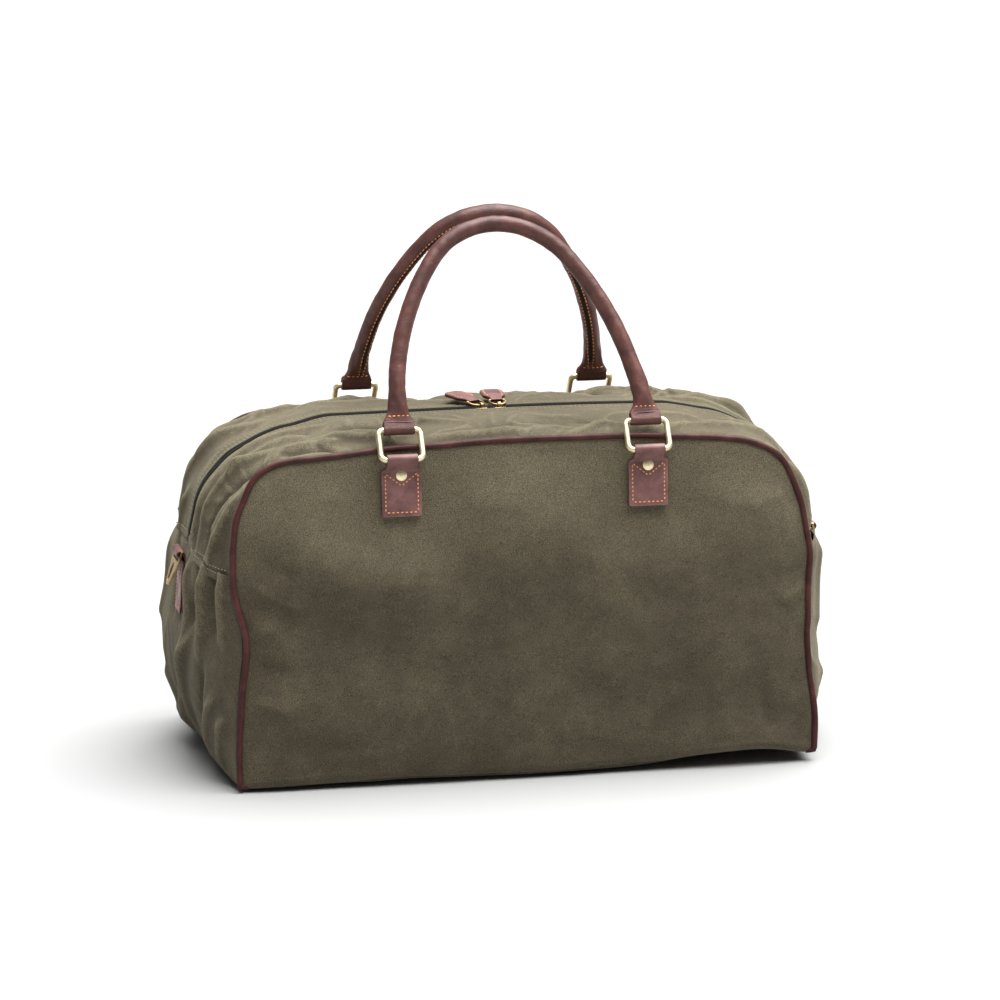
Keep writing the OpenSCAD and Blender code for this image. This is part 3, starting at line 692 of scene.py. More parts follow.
def leather_material(name, dark, base, pale, pebble=620, edge=None, gloss=(0.38, 0.56), shine=0.42):
    """Oiled leather with pores and fine wrinkles, and a painted edge where edge is given."""
    s = Shader(name)
    cloud = s.noise(55, 4, 0.6, distortion=0.4)
    fine = s.noise(900, 3, 0.6)
    colour = s.ramp(cloud, [(0.32, dark), (0.52, base), (0.74, pale)])
    colour = s.mix(s.grey(fine, 0.35, 0.7, 0.0, 0.35), colour, dark)
    if edge is not None:
        rim = s.grey(s.attribute("margin"), 0.0012, 0.0, 0.0, 1.0)
        colour = s.mix(rim, colour, edge)
    pores = s.pebbles(pebble)
    wrinkle = s.noise((120, 420, 420), 3, 0.6, distortion=0.8)
    soft = s.bump(wrinkle, 0.5, 0.5)
    normal = s.bump(pores, 0.22, 0.5, soft)
    rough = s.grey(cloud, 0.3, 0.75, gloss[1], gloss[0])
    return s.finish(colour, rough, normal, Specular_IOR_Level=shine)


def metal_material(name, light, dark, roughness):
    """Brass with a patchy tone and fine rubbing marks."""
    s = Shader(name)
    cloud = s.noise(90, 3, 0.6)
    scratch = s.noise((260, 260, 2600), 2, 0.6)
    colour = s.ramp(cloud, [(0.3, dark), (0.62, light)])
    wear = s.math("ADD", s.math("MULTIPLY", cloud, 0.6), s.math("MULTIPLY", scratch, 0.4))
    rough = s.grey(wear, 0.3, 0.7, roughness - 0.07, roughness + 0.1)
    normal = s.bump(scratch, 0.03, 0.25)
    return s.finish(colour, rough, normal, Metallic=1.0)


def thread_material(name, pale, dark):
    """Twisted sewing thread."""
    s = Shader(name)
    twist = s.noise(2400, 2, 0.6)
    colour = s.ramp(twist, [(0.35, dark), (0.6, pale)])
    return s.finish(colour, 0.7, s.bump(twist, 0.15, 0.6), Sheen_Weight=0.2)


def plain_material(name, dark, pale, scale, depth, roughness, sheen=0.0):
    s = Shader(name)
    grain = s.noise(scale, 3, 0.6)
    cloud = s.noise(scale / 12, 2, 0.5)
    tone = s.math("ADD", s.math("MULTIPLY", grain, 0.5), s.math("MULTIPLY", cloud, 0.5))
    colour = s.ramp(tone, [(0.38, dark), (0.62, pale)])
    rough = s.grey(grain, 0.3, 0.7, roughness, roughness - 0.12)
    return s.finish(colour, rough, s.bump(grain, depth, 0.6), Sheen_Weight=sheen, Specular_IOR_Level=0.25)


CANVAS = canvas_material()
LEATHER = leather_material("brown_leather", srgb(64, 37, 32), srgb(90, 53, 47), srgb(116, 72, 64))
EDGED = leather_material("edged_leather", srgb(88, 57, 55), srgb(118, 80, 77), srgb(140, 99, 95),
                         edge=srgb(40, 26, 25))
PIPING = leather_material("piping_leather", srgb(52, 26, 24), srgb(70, 36, 33), srgb(90, 50, 46),
                          pebble=900, gloss=(0.42, 0.6), shine=0.22)
BRASS = metal_material("brass", srgb(248, 235, 198), srgb(224, 204, 156), 0.43)
OLD_BRASS = metal_material("antique_brass", srgb(186, 160, 112), srgb(128, 106, 70), 0.38)
ORANGE = thread_material("orange_thread", srgb(246, 172, 100), srgb(206, 122, 60))
OLIVE = thread_material("olive_thread", srgb(138, 133, 104), srgb(100, 96, 74))
COIL = plain_material("zip_coil", srgb(12, 12, 11), srgb(26, 25, 23), 900, 0.1, 0.66)
TAPE = plain_material("zip_tape", srgb(12, 12, 11), srgb(24, 23, 20), 1500, 0.12, 0.95)
LINING = plain_material("lining_cotton", srgb(120, 110, 88), srgb(148, 138, 112), 1400, 0.1, 0.85, 0.2)
BOARD = plain_material("fibre_board", srgb(120, 104, 80), srgb(150, 132, 104), 700, 0.15, 0.8)
CORD = plain_material("cotton_cord", srgb(196, 186, 160), srgb(220, 212, 190), 1200, 0.3, 0.9)
EDGE_PAINT = plain_material("edge_paint", srgb(26, 18, 17), srgb(42, 28, 26), 600, 0.1, 0.38)


def paint(obj, material):
    obj.data.materials.clear()
    obj.data.materials.append(material)


def piece(obj, body, material, replaces=()):
    """Material, slot, body and CAD nodes of a finished piece."""
    paint(obj, material)
    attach(obj, body)
    if replaces:
        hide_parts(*replaces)


def top_piece(obj, material, replaces=()):
    """A piece of the top half, its placement baked into the mesh and not attached to a body."""
    paint(obj, material)
    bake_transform(obj)
    if replaces:
        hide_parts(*replaces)


# ---- canvas body ----


def coons(left, right, bottom, top):
    """Grid inside four boundary curves; left and right run up, bottom and top run across."""
    n, m = len(bottom), len(left)
    u = np.linspace(0, 1, n)[:, None, None]
    v = np.linspace(0, 1, m)[None, :, None]
    return (
        (1 - v) * bottom[:, None] + v * top[:, None] + (1 - u) * left[None] + u * right[None]
        - (1 - u) * (1 - v) * bottom[0] - u * (1 - v) * bottom[-1]
        - (1 - u) * v * top[0] - u * v * top[-1]
    )


PANEL_FOLDS = [
    (-246, 128, -214, 140, 7, 2.2), (-246, 112, -206, 96, 8, -2.6), (-240, 84, -200, 60, 8, 1.6),
    (-228, 200, -196, 176, 9, -1.8), (-236, 176, -190, 156, 8, 1.4), (246, 176, 214, 160, 8, -2.2),
    (246, 160, 222, 140, 6, 2.6), (244, 140, 214, 120, 7, -1.6), (228, 240, 196, 224, 9, 1.8),
    (180, 60, 172, 14, 9, 1.4), (206, 84, 204, 20, 8, -1.3), (120, 236, 208, 226, 10, 1.2),
    (-80, 236, 20, 244, 12, 1.0), (-180, 244, -120, 256, 8, 1.2), (20, 30, 120, 22, 10, 0.8),
    (-190, 26, -120, 18, 8, 1.0),
]


def panel_height(x, w, edge, side):
    """Outward fullness of the front or back panel, flat where the chapes sit."""
    full = 3.6 * (1 - np.exp(-edge / 18)) - 1.4 * np.exp(-edge / 5)
    full = full + 7.5 * np.sin(math.pi * np.clip(w / TOP_W, 0, 1)) * smooth(edge / 90)
    field = 1.3 * waves(x, w, 74, 31 + side) + 0.35 * waves(x, w * 1.6, 30, 35 + side)
    field = field + ridges(x * (1 if side < 0 else -1), w, PANEL_FOLDS)
    chape = np.zeros_like(x)
    for cx in (-RING_X, RING_X):
        chape = np.maximum(chape, smooth((78 - np.abs(x - cx)) / 58) * smooth((w - 168) / 62))
    free = smooth(edge / 16)
    height = full + field * free
    return height * (1 - chape) + chape * np.minimum(height, -0.2)


def wall_panel(name, side, node):
    half_corner = SIDE_W + ARC / 2
    n, m = 150, 84
    inset = -PIPING_R * 0.6

    def edge_curve(s):
        return np.stack(seam_flat(s, seam_out(s, side) + inset), 1)

    left = edge_curve(np.linspace(0, half_corner, m))
    right = edge_curve(np.linspace(S_END, S_END - half_corner, m))
    top = edge_curve(np.linspace(half_corner, S_END - half_corner, n))
    bottom = np.stack([np.linspace(left[0, 0], right[0, 0], n), np.zeros(n)], 1)
    flat = coons(left, right, bottom, top)
    x, w = flat[..., 0], flat[..., 1]
    ring = np.concatenate([left, top[1:-1], right[::-1]])
    edge = np.min(np.hypot(x[..., None] - ring[:, 0], w[..., None] - ring[:, 1]), -1)
    height = panel_height(x, w, edge, side)
    foot = np.maximum(0, 6 - w)
    height = height * smooth((w + 6) / 14) - foot**2 / 12
    height = height + (2.2 * smooth(1 - np.abs(x + 20) / 170) * smooth(1 - w / 60) if side < 0 else 0)
    y = side * (seam_y(w) + CANVAS_T / 2 + height * math.cos(LEAN))
    z = w * math.cos(LEAN) + height * math.sin(LEAN) + 1.0
    points = settle(np.stack([x, y, z], -1))
    # Painted light: the upper part of the wall is mixed paler towards the top, as if lit from above; the
    # rest is paler wax on sharp creases.
    crease = 0.4 * field_crease(height) + 0.82 * smooth((w - 150) / 110)
    obj = sheet(name, points, CLOTH_T, flat, {"crease": crease}, flip=side > 0)
    piece(subdivide(obj), "bag", CANVAS, [node])


def field_crease(height):
    """Where a height field turns sharply outward, 0 to 1."""
    second = np.zeros_like(height)
    for axis in (0, 1):
        second -= np.gradient(np.gradient(height, axis=axis), axis=axis)
    return np.clip(second * 1.5 - 0.16, 0, 0.8)


def hem_at(v):
    """Height of the end panel's top edge across the bag, v from the front seam (-1) to the back (1)."""
    return HEM_W + 12 * np.minimum(v, 0) + 7 * np.maximum(v, 0)


def end_panel(name, right, node):
    t, q = np.linspace(0, 1, 104)[:, None], np.linspace(-1, 1, 110)[None]
    s2 = 1 + t * (hem_at(q) + 6)
    q2 = q + 0 * t
    if right:
        s2 = S_END - s2
    w = outline(s2)[1]
    y = q2 * (seam_y(w) - PIPING_R * 0.7)
    depth = 1.0 * smooth((w - hem_at(q2) + 8) / 6)
    height = end_folds(s2, y)
    points = band_point(s2, y, depth, end_folds)
    foot = np.maximum(0, 8 - w)
    points[..., 0] += (-1 if right else 1) * foot**2 / 14
    points = settle(points)
    points[..., 2] += 0.8
    crease = field_crease(height)
    obj = sheet(name, points, CLOTH_T, np.stack([y, w], -1), {"crease": crease}, flip=not right)
    piece(subdivide(obj), "bag", CANVAS, [node])


def top_strip(name, side, nodes):
    t, q = np.linspace(0, 1, 310)[:, None], np.linspace(1, 0, 52)[None]
    hem = hem_at(side * (0.05 + 0.95 * q))
    s2 = hem + t * (S_END - 2 * hem)
    outer = seam_y(outline(s2)[1]) - PIPING_R * 0.7
    y = side * (ZIP_HALF + (outer - ZIP_HALF) * q)
    height = top_folds(s2, y)
    run = np.minimum(s2 - hem, S_END - hem - s2)
    roll = 0.9 * np.exp(-((run - 2.5) / 2.0) ** 2) - 0.5 * np.exp(-((run - 6.5) / 1.2) ** 2)
    zip_roll = 0.5 * np.exp(-(((np.abs(y) - ZIP_HALF - 1.5) / 1.4) ** 2)) - 0.35 * np.exp(
        -(((np.abs(y) - ZIP_HALF - 4.0) / 0.9) ** 2))
    points = band_point(s2, y, -(roll + zip_roll), top_folds)
    # Painted light: the top strips are mixed paler towards the top, less so in the valleys of the folds
    # (painted shade there); the rest is paler wax on sharp creases.
    painted_top_light = 0.42 * smooth((outline(s2)[1] - 225) / 55)
    crease = 1.2 * field_crease(height) - 0.5 * field_crease(-height) + painted_top_light
    obj = sheet(name, points, CLOTH_T, np.stack([s2, y], -1), {"crease": crease}, flip=side > 0)
    top_piece(subdivide(obj), CANVAS, nodes)


def zip_tape(name, side, nodes):
    s = np.linspace(HEM_W + 1, S_END - HEM_W - 1, 260)
    y = np.linspace(14, 2, 5)
    s2, y2 = np.meshgrid(s, y * side, indexing="ij")
    obj = sheet(name, band_point(s2, y2, 1.75), 0.6, np.stack([s2, y2], -1), flip=side > 0)
    top_piece(obj, TAPE, nodes)


def zip_coil(name, side, nodes):
    """One row of the coil: a fat thread wound in close turns."""
    pitch, steps = 1.5, 8
    turns = int((S_END - 2 * HEM_W - 4) / pitch)
    t = np.arange(turns * steps + 1) / steps
    s = HEM_W + 2 + t * pitch
    angle = 2 * math.pi * t
    y = side * (1.9 + 1.3 * np.cos(angle))
    depth = 0.25 - 0.75 * np.sin(angle)
    path = band_point(s, y, depth)
    up = band_point(s, y, -5) - path
    up /= np.linalg.norm(up, axis=1, keepdims=True)
    top_piece(tube(name, path, 0.5, up, sides=5), COIL, nodes)


def top_stitches(name, rows):
    """Stitch rows on the top canvas; each row is (distance round the outline, y)."""
    lines = []
    for s, y in rows:
        path = band_point(s, y, -0.1, top_folds)
        normal = band_point(s, y, -4.1, top_folds) - path
        lines.append((path, normal / np.linalg.norm(normal, axis=1, keepdims=True)))
    return stitches(name, lines, length=2.7, gap=1.2, radius=0.54)


def zip_stitching(name, side):
    s = np.linspace(HEM_W + 6, S_END - HEM_W - 6, 400)
    rows = [(s, np.full_like(s, side * y)) for y in (ZIP_HALF + 4.0, ZIP_HALF + 10.0)]
    top_piece(top_stitches(name, rows), OLIVE)


def hem_stitching(name, right):
    rows = []
    for offset, first in ((6.2, -0.97), (10.7, 0.45)):
        for sign in (-1, 1):
            q = sign * np.linspace(max(first, 0.02), 0.97, 90)
            s = hem_at(q) + offset
            rows.append((S_END - s if right else s, q * (seam_y(HEM_W) - PIPING_R)))
    piece(top_stitches(name, rows), "bag", OLIVE)


def base(name):
    n, m = 100, 54
    u = np.linspace(-1, 1, n)[:, None]
    v = np.linspace(-1, 1, m)[None, :]
    half_x = HALF_X + 2 + 9 * (1 - np.abs(v) ** 2.4) - 3
    x = u * half_x * np.ones_like(v)
    y = v * (HALF_Y - 1.0) * np.ones_like(u)
    border = np.minimum(half_x * (1 - np.abs(u)), (HALF_Y - 1.0) * (1 - np.abs(v)))
    z = CANVAS_T + 0.12 + 2.2 * (1 - smooth(border / 6))
    points = settle(np.stack([x, y, z + 0 * x], -1))
    points[..., 2] = np.maximum(points[..., 2], CANVAS_T)
    obj = sheet(name, points, CANVAS_T - 0.1, np.stack([x, y], -1), {"crease": 0 * x})
    piece(obj, "bag", CANVAS, ["base_panel"])


def base_seam(name, side):
    """Thin roll of canvas along the bottom edge, where the base is sewn to the panel."""
    x = np.linspace(-175, 130, 180)
    swell = 2.2 * smooth(1 - np.abs(x + 20) / 170) if side < 0 else 0 * x
    y = side * (HALF_Y - 0.3 + 0.4 * swell + 0.25 * waves(x, x * 0, 60, 81 + side))
    path = np.stack([x, y, 1.75 + lift(x, y)], -1)
    radius = 0.3 + 1.2 * smooth(np.minimum(x + 175, 130 - x) / 45)
    piece(tube(name, path, radius, [0.0, side, 0.0], sides=12), "bag", CANVAS)


def lining_wall(name, side, node):
    x = np.linspace(-1, 1, 60)[:, None]
    w = np.linspace(9, TOP_W - 9, 40)[None, :]
    half = HALF_X - 10 - (CORNER_R - np.sqrt(np.maximum(CORNER_R**2 - np.maximum(w - SIDE_W, 0) ** 2, 0)))
    xx = x * half
    ww = w + 0 * x
    depth = 4.5 + 1.1 * waves(xx, ww, 60, 41 + side)
    points = settle(np.stack([xx, side * (seam_y(ww) - depth), ww * math.cos(LEAN)], -1))
    obj = sheet(name, points, LINING_T, np.stack([xx, ww], -1), flip=side > 0)
    piece(obj, "bag", LINING, [node])


def lining_end(name, right, node):
    s = np.linspace(9, S_TOP - 8, 56)
    if right:
        s = S_END - s
    q = np.linspace(-0.93, 0.93, 50)
    s2, q2 = np.meshgrid(s, q, indexing="ij")
    y = q2 * (seam_y(outline(s2)[1]) - 6)
    points = settle(band_point(s2, y, 7.5 + 1.0 * waves(s2, y, 50, 47)))
    obj = sheet(name, points, LINING_T, np.stack([y, s2], -1), flip=not right)
    piece(obj, "bag", LINING, [node])


def lining_base(name):
    low, high = box_mm("lining_base")
    x = np.linspace(low[0] + 4, high[0] - 4, 60)[:, None]
    y = np.linspace(low[1] + 4, high[1] - 4, 36)[None, :]
    z = high[2] + 0.5 + 0.4 * waves(x, y, 50, 51)
    points = settle(np.stack(np.broadcast_arrays(x, y, z), -1))
    piece(sheet(name, points, LINING_T, points[..., :2]), "bag", LINING, ["lining_base"])


def board(name):
    """Stiffening board on the base, bent up a little with the front edge."""
    low, high = box_mm("base_board")
    x = np.linspace(low[0], high[0], 80)[:, None]
    y = np.linspace(low[1], high[1], 44)[None, :]
    points = settle(np.stack(np.broadcast_arrays(x, y, high[2] + 0 * x * y), -1))
    piece(sheet(name, points, high[2] - low[2], points[..., :2]), "bag", BOARD, ["base_board"])


# ---- piping ----


def piping_path(side):
    s = np.linspace(4, S_END - 4, 520)
    path = seam_point(s, side)
    path[:, 1] += 0.25 * waves(s, s * 0, 28, 61 + side)
    t = np.linspace(1, 0, 7)[:-1]
    start, end = (np.stack([p[0] - np.sign(p[0]) * 7 * t**2, p[1] - side * 3.0 * t**1.5, p[2] - 1.6 * t], 1)
                  for p in path[[0, -1]])
    path = np.concatenate([start, path, end[::-1]])
    return settle(resample(path, 2.4))


def piping(name, side, node, cord_node):
    path = piping_path(side)
    up = np.tile([0.0, side * math.cos(LEAN), math.sin(LEAN)], (len(path), 1))
    d = distance_along(path)
    radius = PIPING_R * (1 + 0.035 * waves(d, d * 0, 9, 63 + side))
    piece(tube(name, path, radius, up, sides=18), "bag", PIPING, [node])
    piece(tube(name + "_cord", path[2:-2], 1.5, up[2:-2], sides=10), "bag", CORD, [cord_node])
    flange(name + "_flange", side, path)


def flange(name, side, path):
    """Folded leather edge that the piping is sewn in by, just seen beside the tube."""
    centre = np.array([0, side * (HALF_Y + TOP_Y) / 2, PANEL_H * 0.45])
    inward = centre - path
    inward[:, 1] = 0
    inward /= np.linalg.norm(inward, axis=1, keepdims=True)
    normal = np.array([0.0, side * math.cos(LEAN), math.sin(LEAN)])
    offsets = np.array([0.5, 2.4, 3.6])
    heights = np.array([0.6, 0.9, -0.6])
    grid = path[:, None] + inward[:, None] * offsets[None, :, None] + normal * heights[None, :, None]
    uv = np.stack(np.broadcast_arrays(distance_along(path)[:, None], offsets[None]), 2)
    piece(sheet(name, grid, 0.8, uv, flip=side < 0), "bag", PIPING)


# ---- handles ----

SEAM_TURN = math.radians(68)  # from the inside of the handle's bend towards the other handle
# Sideways lean of each handle's crown, and the power by which it grows with height.
HANDLE_SWAY = {-1: (-10.0, 1.0), 1: (3.0, 1.4)}
END_CUT = 5.5  # from the ring's bar to the end of the rolled leather


def handle_centre(side):
    """Centre line in the handle's own plane: across and up it, from one ring's bar to the other's."""
    side_r, bend_r = 247.0, 72.0
    bend_h = math.sqrt((side_r - bend_r) ** 2 - (side_r - RING_X) ** 2)
    turn = math.atan2(bend_h, side_r - RING_X)
    a = np.linspace(0, turn, 60)
    right = np.stack([RING_X - side_r + side_r * np.cos(a), side_r * np.sin(a)], 1)
    b = np.linspace(turn, math.pi - turn, 60)[1:-1]
    top = np.stack([bend_r * np.cos(b), bend_h + bend_r * np.sin(b)], 1)
    flat = np.concatenate([right, top, right[::-1] * [-1, 1]])[::-1]
    flat = resample(flat, 1.5)
    relax(flat, 60)
    h = flat[:, 1] / flat[:, 1].max()
    sway, power = HANDLE_SWAY[side]
    flat[:, 0] += sway * h**power * smooth(h / 0.3)
    return resample(flat, 1.5)


def in_handle_plane(flat, side, out=0.0):
    """3-D points of plane coordinates (across, up), moved out of the plane, and the plane's normal."""
    up = np.array([0, -side * math.sin(HANDLE_LEAN), math.cos(HANDLE_LEAN)])
    normal = np.array([0, side * math.cos(HANDLE_LEAN), math.sin(HANDLE_LEAN)])
    origin = np.array([0, side * BAR_Y, BAR_Z])
    return origin + flat[:, :1] * [1, 0, 0] + flat[:, 1:] * up + np.reshape(out, (-1, 1)) * normal, normal


GRIP_R = 7.3
HANDLE_WIDTH = curve([
    (0, STRAP_HALF), (4, 13.6), (8, 12.4), (11, 10.9), (15, 9.4), (20, 8.5), (34, 7.5), (60, GRIP_R),
    (400, GRIP_R),
])
HANDLE_THICK = curve([
    (0, 3.9), (4, 4.2), (8, 4.1), (11, 4.0), (15, 4.9), (20, 6.2), (34, 7.1), (60, GRIP_R),
    (400, GRIP_R),
])


def handle_section(near, a):
    """Outline of the handle at angle a round it: a flat neck near the ring turns into a round grip."""
    power = 1 - 0.35 * smooth((26 - near) / 20)
    across = np.sign(np.cos(a)) * np.abs(np.cos(a)) ** power * HANDLE_WIDTH(near)
    out = np.sign(np.sin(a)) * np.abs(np.sin(a)) ** power * HANDLE_THICK(near)
    return across, out


def seam_angle(near, offset=0.0):
    """Where the closing seam runs round the handle; offset is to either side of it."""
    neck = smooth((30 - near) / 20)
    return math.pi + SEAM_TURN + math.radians(12) * neck + offset * (1 - 0.6 * neck)


def handle(prefix, side, body, nodes):
    flat = handle_centre(side)
    d = distance_along(flat)
    keep = (d > END_CUT) & (d < d[-1] - END_CUT)
    flat, d = flat[keep], d[keep]
    near = np.minimum(d, d[-1] + END_CUT - d)
    path, normal = in_handle_plane(flat, side)
    a = np.linspace(0, 2 * math.pi, 40, endpoint=False)
    cx, cy = handle_section(near[:, None], a[None])
    along, around = d[:, None], a[None] * GRIP_R
    lumps = 0.16 * waves(along, around, 16, 71 + side) + 0.10 * waves(along, around, 7, 73)
    pull = np.exp(-(((near - 24) / 22) ** 2))[:, None]
    lumps = lumps + 0.55 * pull * waves(along * 0.25, around, 4.5, 75 + side)
    roll = smooth((near - 16) / 14)
    from_seam = np.angle(np.exp(1j * (a[None] - seam_angle(near)[:, None])))
    slit = np.exp(-((from_seam / 0.24) ** 2)) * roll[:, None]
    scale = 1 + (lumps - slit) / GRIP_R
    sections = np.stack([cx * scale, cy * scale], 2)
    obj = tube(prefix + "_leather", path, None, normal, sections=sections)
    piece(subdivide(obj), body, LEATHER, nodes[:1])
    core = tube(prefix + "_core", path[14:-14], 4.6, normal, sides=12)
    piece(core, body, CORD, nodes[1:])
    handle_seam(prefix, body, near, normal, path)
    handle_stitching(prefix, side, body, near, normal, path)
    for x in (-1, 1):
        handle_loop(f"{prefix}_loop_{'left' if x < 0 else 'right'}", side, body, x)


def on_handle(path, normal, near, offset, sink):
    """Points on the handle beside its seam, sunk a little into it, and their outward directions."""
    _, across, out = frames_along(path, normal)
    a, b = handle_section(near, seam_angle(near, offset))
    slope_a, slope_b = a / HANDLE_WIDTH(near) ** 2, b / HANDLE_THICK(near) ** 2
    direction = across * slope_a[:, None] + out * slope_b[:, None]
    direction /= np.linalg.norm(direction, axis=1, keepdims=True)
    return path + across * a[:, None] + out * b[:, None] - sink * direction, direction


def handle_seam(prefix, body, near, normal, path):
    """Painted edges of the leather where it closes on itself: a dark band between the stitch rows."""
    points, direction = on_handle(path, normal, near, 0.0, 0.75)
    run = near > 8.5
    sections = np.tile(rounded_section(1.7, 0.75, 0.6), (int(run.sum()), 1, 1))
    obj = tube(prefix + "_seam", points[run], None, direction[run], sections=sections)
    piece(obj, body, EDGE_PAINT)


def handle_stitching(prefix, side, body, near, normal, path):
    rows = []
    run = near > 11
    for offset in (-0.37, 0.37):
        points, direction = on_handle(path, normal, near, offset, 0.05)
        rows.append((points[run], direction[run]))
    for x in (-1, 1):
        lateral = np.linspace(-9.6, 9.6, 12)
        for face in (-1, 1):
            line = np.stack([x * RING_X + lateral, np.full_like(lateral, 11.2)], 1)
            bulge = 4.05 * np.abs(1 - np.abs(lateral / 11) ** 3.2) ** 0.32
            points, outward = in_handle_plane(line, side, face * bulge)
            rows.append((points, outward * face))
    obj = stitches(prefix + "_stitching", rows, length=2.6, gap=1.2, radius=0.55)
    piece(obj, body, ORANGE)


def loop_profile(reach=8.0, gap=2.1):
    """Side view of a strap folded round a bar at the origin: up one side, round and up the other."""
    a = np.linspace(math.radians(25), math.radians(-205), 40)
    arc = np.stack([LOOP_R * np.cos(a), LOOP_R * np.sin(a)], 1)
    t = np.linspace(1, 0, 12)[:-1, None]
    start = np.array([gap, reach]) * t + arc[0] * (1 - t)
    end = np.array([-gap, reach]) * t + arc[-1] * (1 - t)
    path = np.concatenate([start, arc, end[::-1]])
    relax(path, 4)
    return resample(path, 0.7)


def handle_loop(name, side, body, x):
    profile = loop_profile()
    centre = np.stack([np.full(len(profile), x * RING_X), profile[:, 1]], 1)
    path, _ = in_handle_plane(centre, side, profile[:, 0])
    half = STRAP_HALF - 2.6 * smooth((profile[:, 1] - 5) / 8)
    outward = np.cross(np.gradient(path, axis=0), [1.0, 0, 0])
    inside, _ = in_handle_plane(np.array([[x * RING_X, 5.0]]), side)
    if np.sum((path - inside) * outward) < 0:
        outward = -outward
    piece(subdivide(strap(name, path, half, LEATHER_T, outward)), body, LEATHER)


# ---- chapes ----


def chape_frame(side, x):
    """Functions from (across, out, along the panel) to 3-D for a chape."""
    up = np.array([0, -side * math.sin(LEAN), math.cos(LEAN)])
    out = np.array([0, side * math.cos(LEAN), math.sin(LEAN)])
    origin = np.array([x, side * HALF_Y, 0])
    return lambda a, n, h: (origin + np.reshape(a, (-1, 1)) * [1, 0, 0] + np.reshape(n, (-1, 1)) * out
                            + np.reshape(h, (-1, 1)) * up), out, up


CHAPE_W, CHAPE_H = 34.5, 41.0
CHAPE_TOP = 271.0 / math.cos(LEAN)
CHAPE_FACE = CANVAS_T / 2 + 0.05
RIVET_H = CHAPE_TOP - 6


def corner_width(d, half, r):
    """Half width at distance d from a strap's rounded end."""
    d = np.clip(d, 0, r)
    return half - (r - np.sqrt(np.maximum(r * r - (r - d) ** 2, 0)))


def facing(path, across, towards):
    """Normals of a strap along path, its width across, turned so that its first part faces towards."""
    outward = np.cross(np.gradient(path, axis=0), across)
    return -outward if outward[20] @ towards < 0 else outward


def chape(name, side, x, node):
    to3, out, up = chape_frame(side, x)
    bar = np.array([0, side * RING_Y, RING_Z]) - np.array([0, side * HALF_Y, 0])
    bar_n, bar_h = bar @ out, bar @ up
    front = CHAPE_FACE + 1.5 * LEATHER_T
    back = CHAPE_FACE + 0.5 * LEATHER_T
    low = CHAPE_TOP - CHAPE_H
    rise = np.linspace(low, CHAPE_TOP - 1, 60)
    a = np.linspace(math.radians(-30), math.radians(200), 30)
    arc = np.stack([bar_n + LOOP_R * np.cos(a), bar_h + LOOP_R * np.sin(a)], 1)
    face = np.stack([np.full_like(rise, front), rise], 1)
    run = np.concatenate([face, arc, [[back + 0.3, CHAPE_TOP - 1], [back, CHAPE_TOP - 8]]])
    relax(run[49:], 3)
    run = resample(run, 0.6)
    d = distance_along(run)
    tab = corner_width(d, CHAPE_W / 2, 0.6)
    narrow = smooth((d - CHAPE_H + 2.5) / 4.5)
    half = tab * (1 - narrow) + STRAP_HALF * narrow
    path = to3(0, run[:, 0], run[:, 1])
    outward = facing(path, [1.0, 0, 0], out)
    bow = -0.5 * smooth((d - CHAPE_H) / 6) * smooth((CHAPE_H + 16 - d) / 8)
    piece(subdivide(strap(name, path, half, LEATHER_T, outward, bow=bow)), "bag", EDGED, [node])
    rise = np.linspace(low, CHAPE_TOP - 2, 40)
    path = to3(0, np.full_like(rise, back), rise)
    d = rise - low
    under = strap(name + "_under", path, corner_width(d, CHAPE_W / 2 - 0.1, 0.6), LEATHER_T - 0.1, out)
    piece(subdivide(under), "bag", EDGED)
    chape_stitching(name + "_stitching", side, x)


def chape_stitching(name, side, x):
    to3, out, _ = chape_frame(side, x)
    face = CHAPE_FACE + 2 * LEATHER_T
    inset = 3.3
    half, low, high = CHAPE_W / 2 - inset, CHAPE_TOP - CHAPE_H + inset, CHAPE_TOP - 4.2
    dip = RIVET_H - 9
    rows = []
    for x0, h0, x1, h1 in ((-half, high, -half, low), (-half, low, half, low), (half, low, half, high),
                           (-half, high, 0, dip), (0, dip, half, high)):
        t = np.linspace(0.02, 0.98, 30)
        rows.append((to3(x0 + (x1 - x0) * t, np.full(30, face), h0 + (h1 - h0) * t), out))
    piece(stitches(name, rows, length=2.6, gap=1.0, radius=0.58), "bag", ORANGE)


# ---- end tabs and rings ----


def end_line(w, right, depth):
    s = S_END - w if right else w
    return band_point(s, np.zeros_like(w), depth)


def end_tab(name, right, node):
    bottom, width = 130.0, 28.0
    w = np.linspace(bottom, 176, 56)
    sign = 1 if right else -1
    face = end_line(w, right, -3.1)
    a = np.linspace(math.radians(-35), math.radians(205), 26)
    arc = np.stack([sign * (END_BAR_X + 3.3 * np.cos(a)), np.zeros(26), END_BAR_Z + 3.3 * np.sin(a)], 1)
    back = end_line(np.linspace(178, 168, 5), right, -1.1)
    path = np.concatenate([face, arc, back])
    relax(path, 3)
    path = resample(path, 0.7)
    half = corner_width(distance_along(path), width / 2, 2.2)
    outward = facing(path, [0, 1.0, 0], np.array([sign, 0, 0]))
    piece(subdivide(strap(name, path, half, LEATHER_T, outward)), "bag", EDGED, [node])
    w2 = np.linspace(bottom, 172, 40)
    path2 = end_line(w2, right, -1.1)
    out2 = np.tile([sign, 0.0, 0.2], (len(path2), 1))
    half = corner_width(w2 - bottom, width / 2 - 0.1, 2.2)
    under = strap(name + "_under", path2, half, LEATHER_T - 0.1, out2)
    piece(subdivide(under), "bag", EDGED)
    end_tab_stitching(name + "_stitching", right, width, bottom)


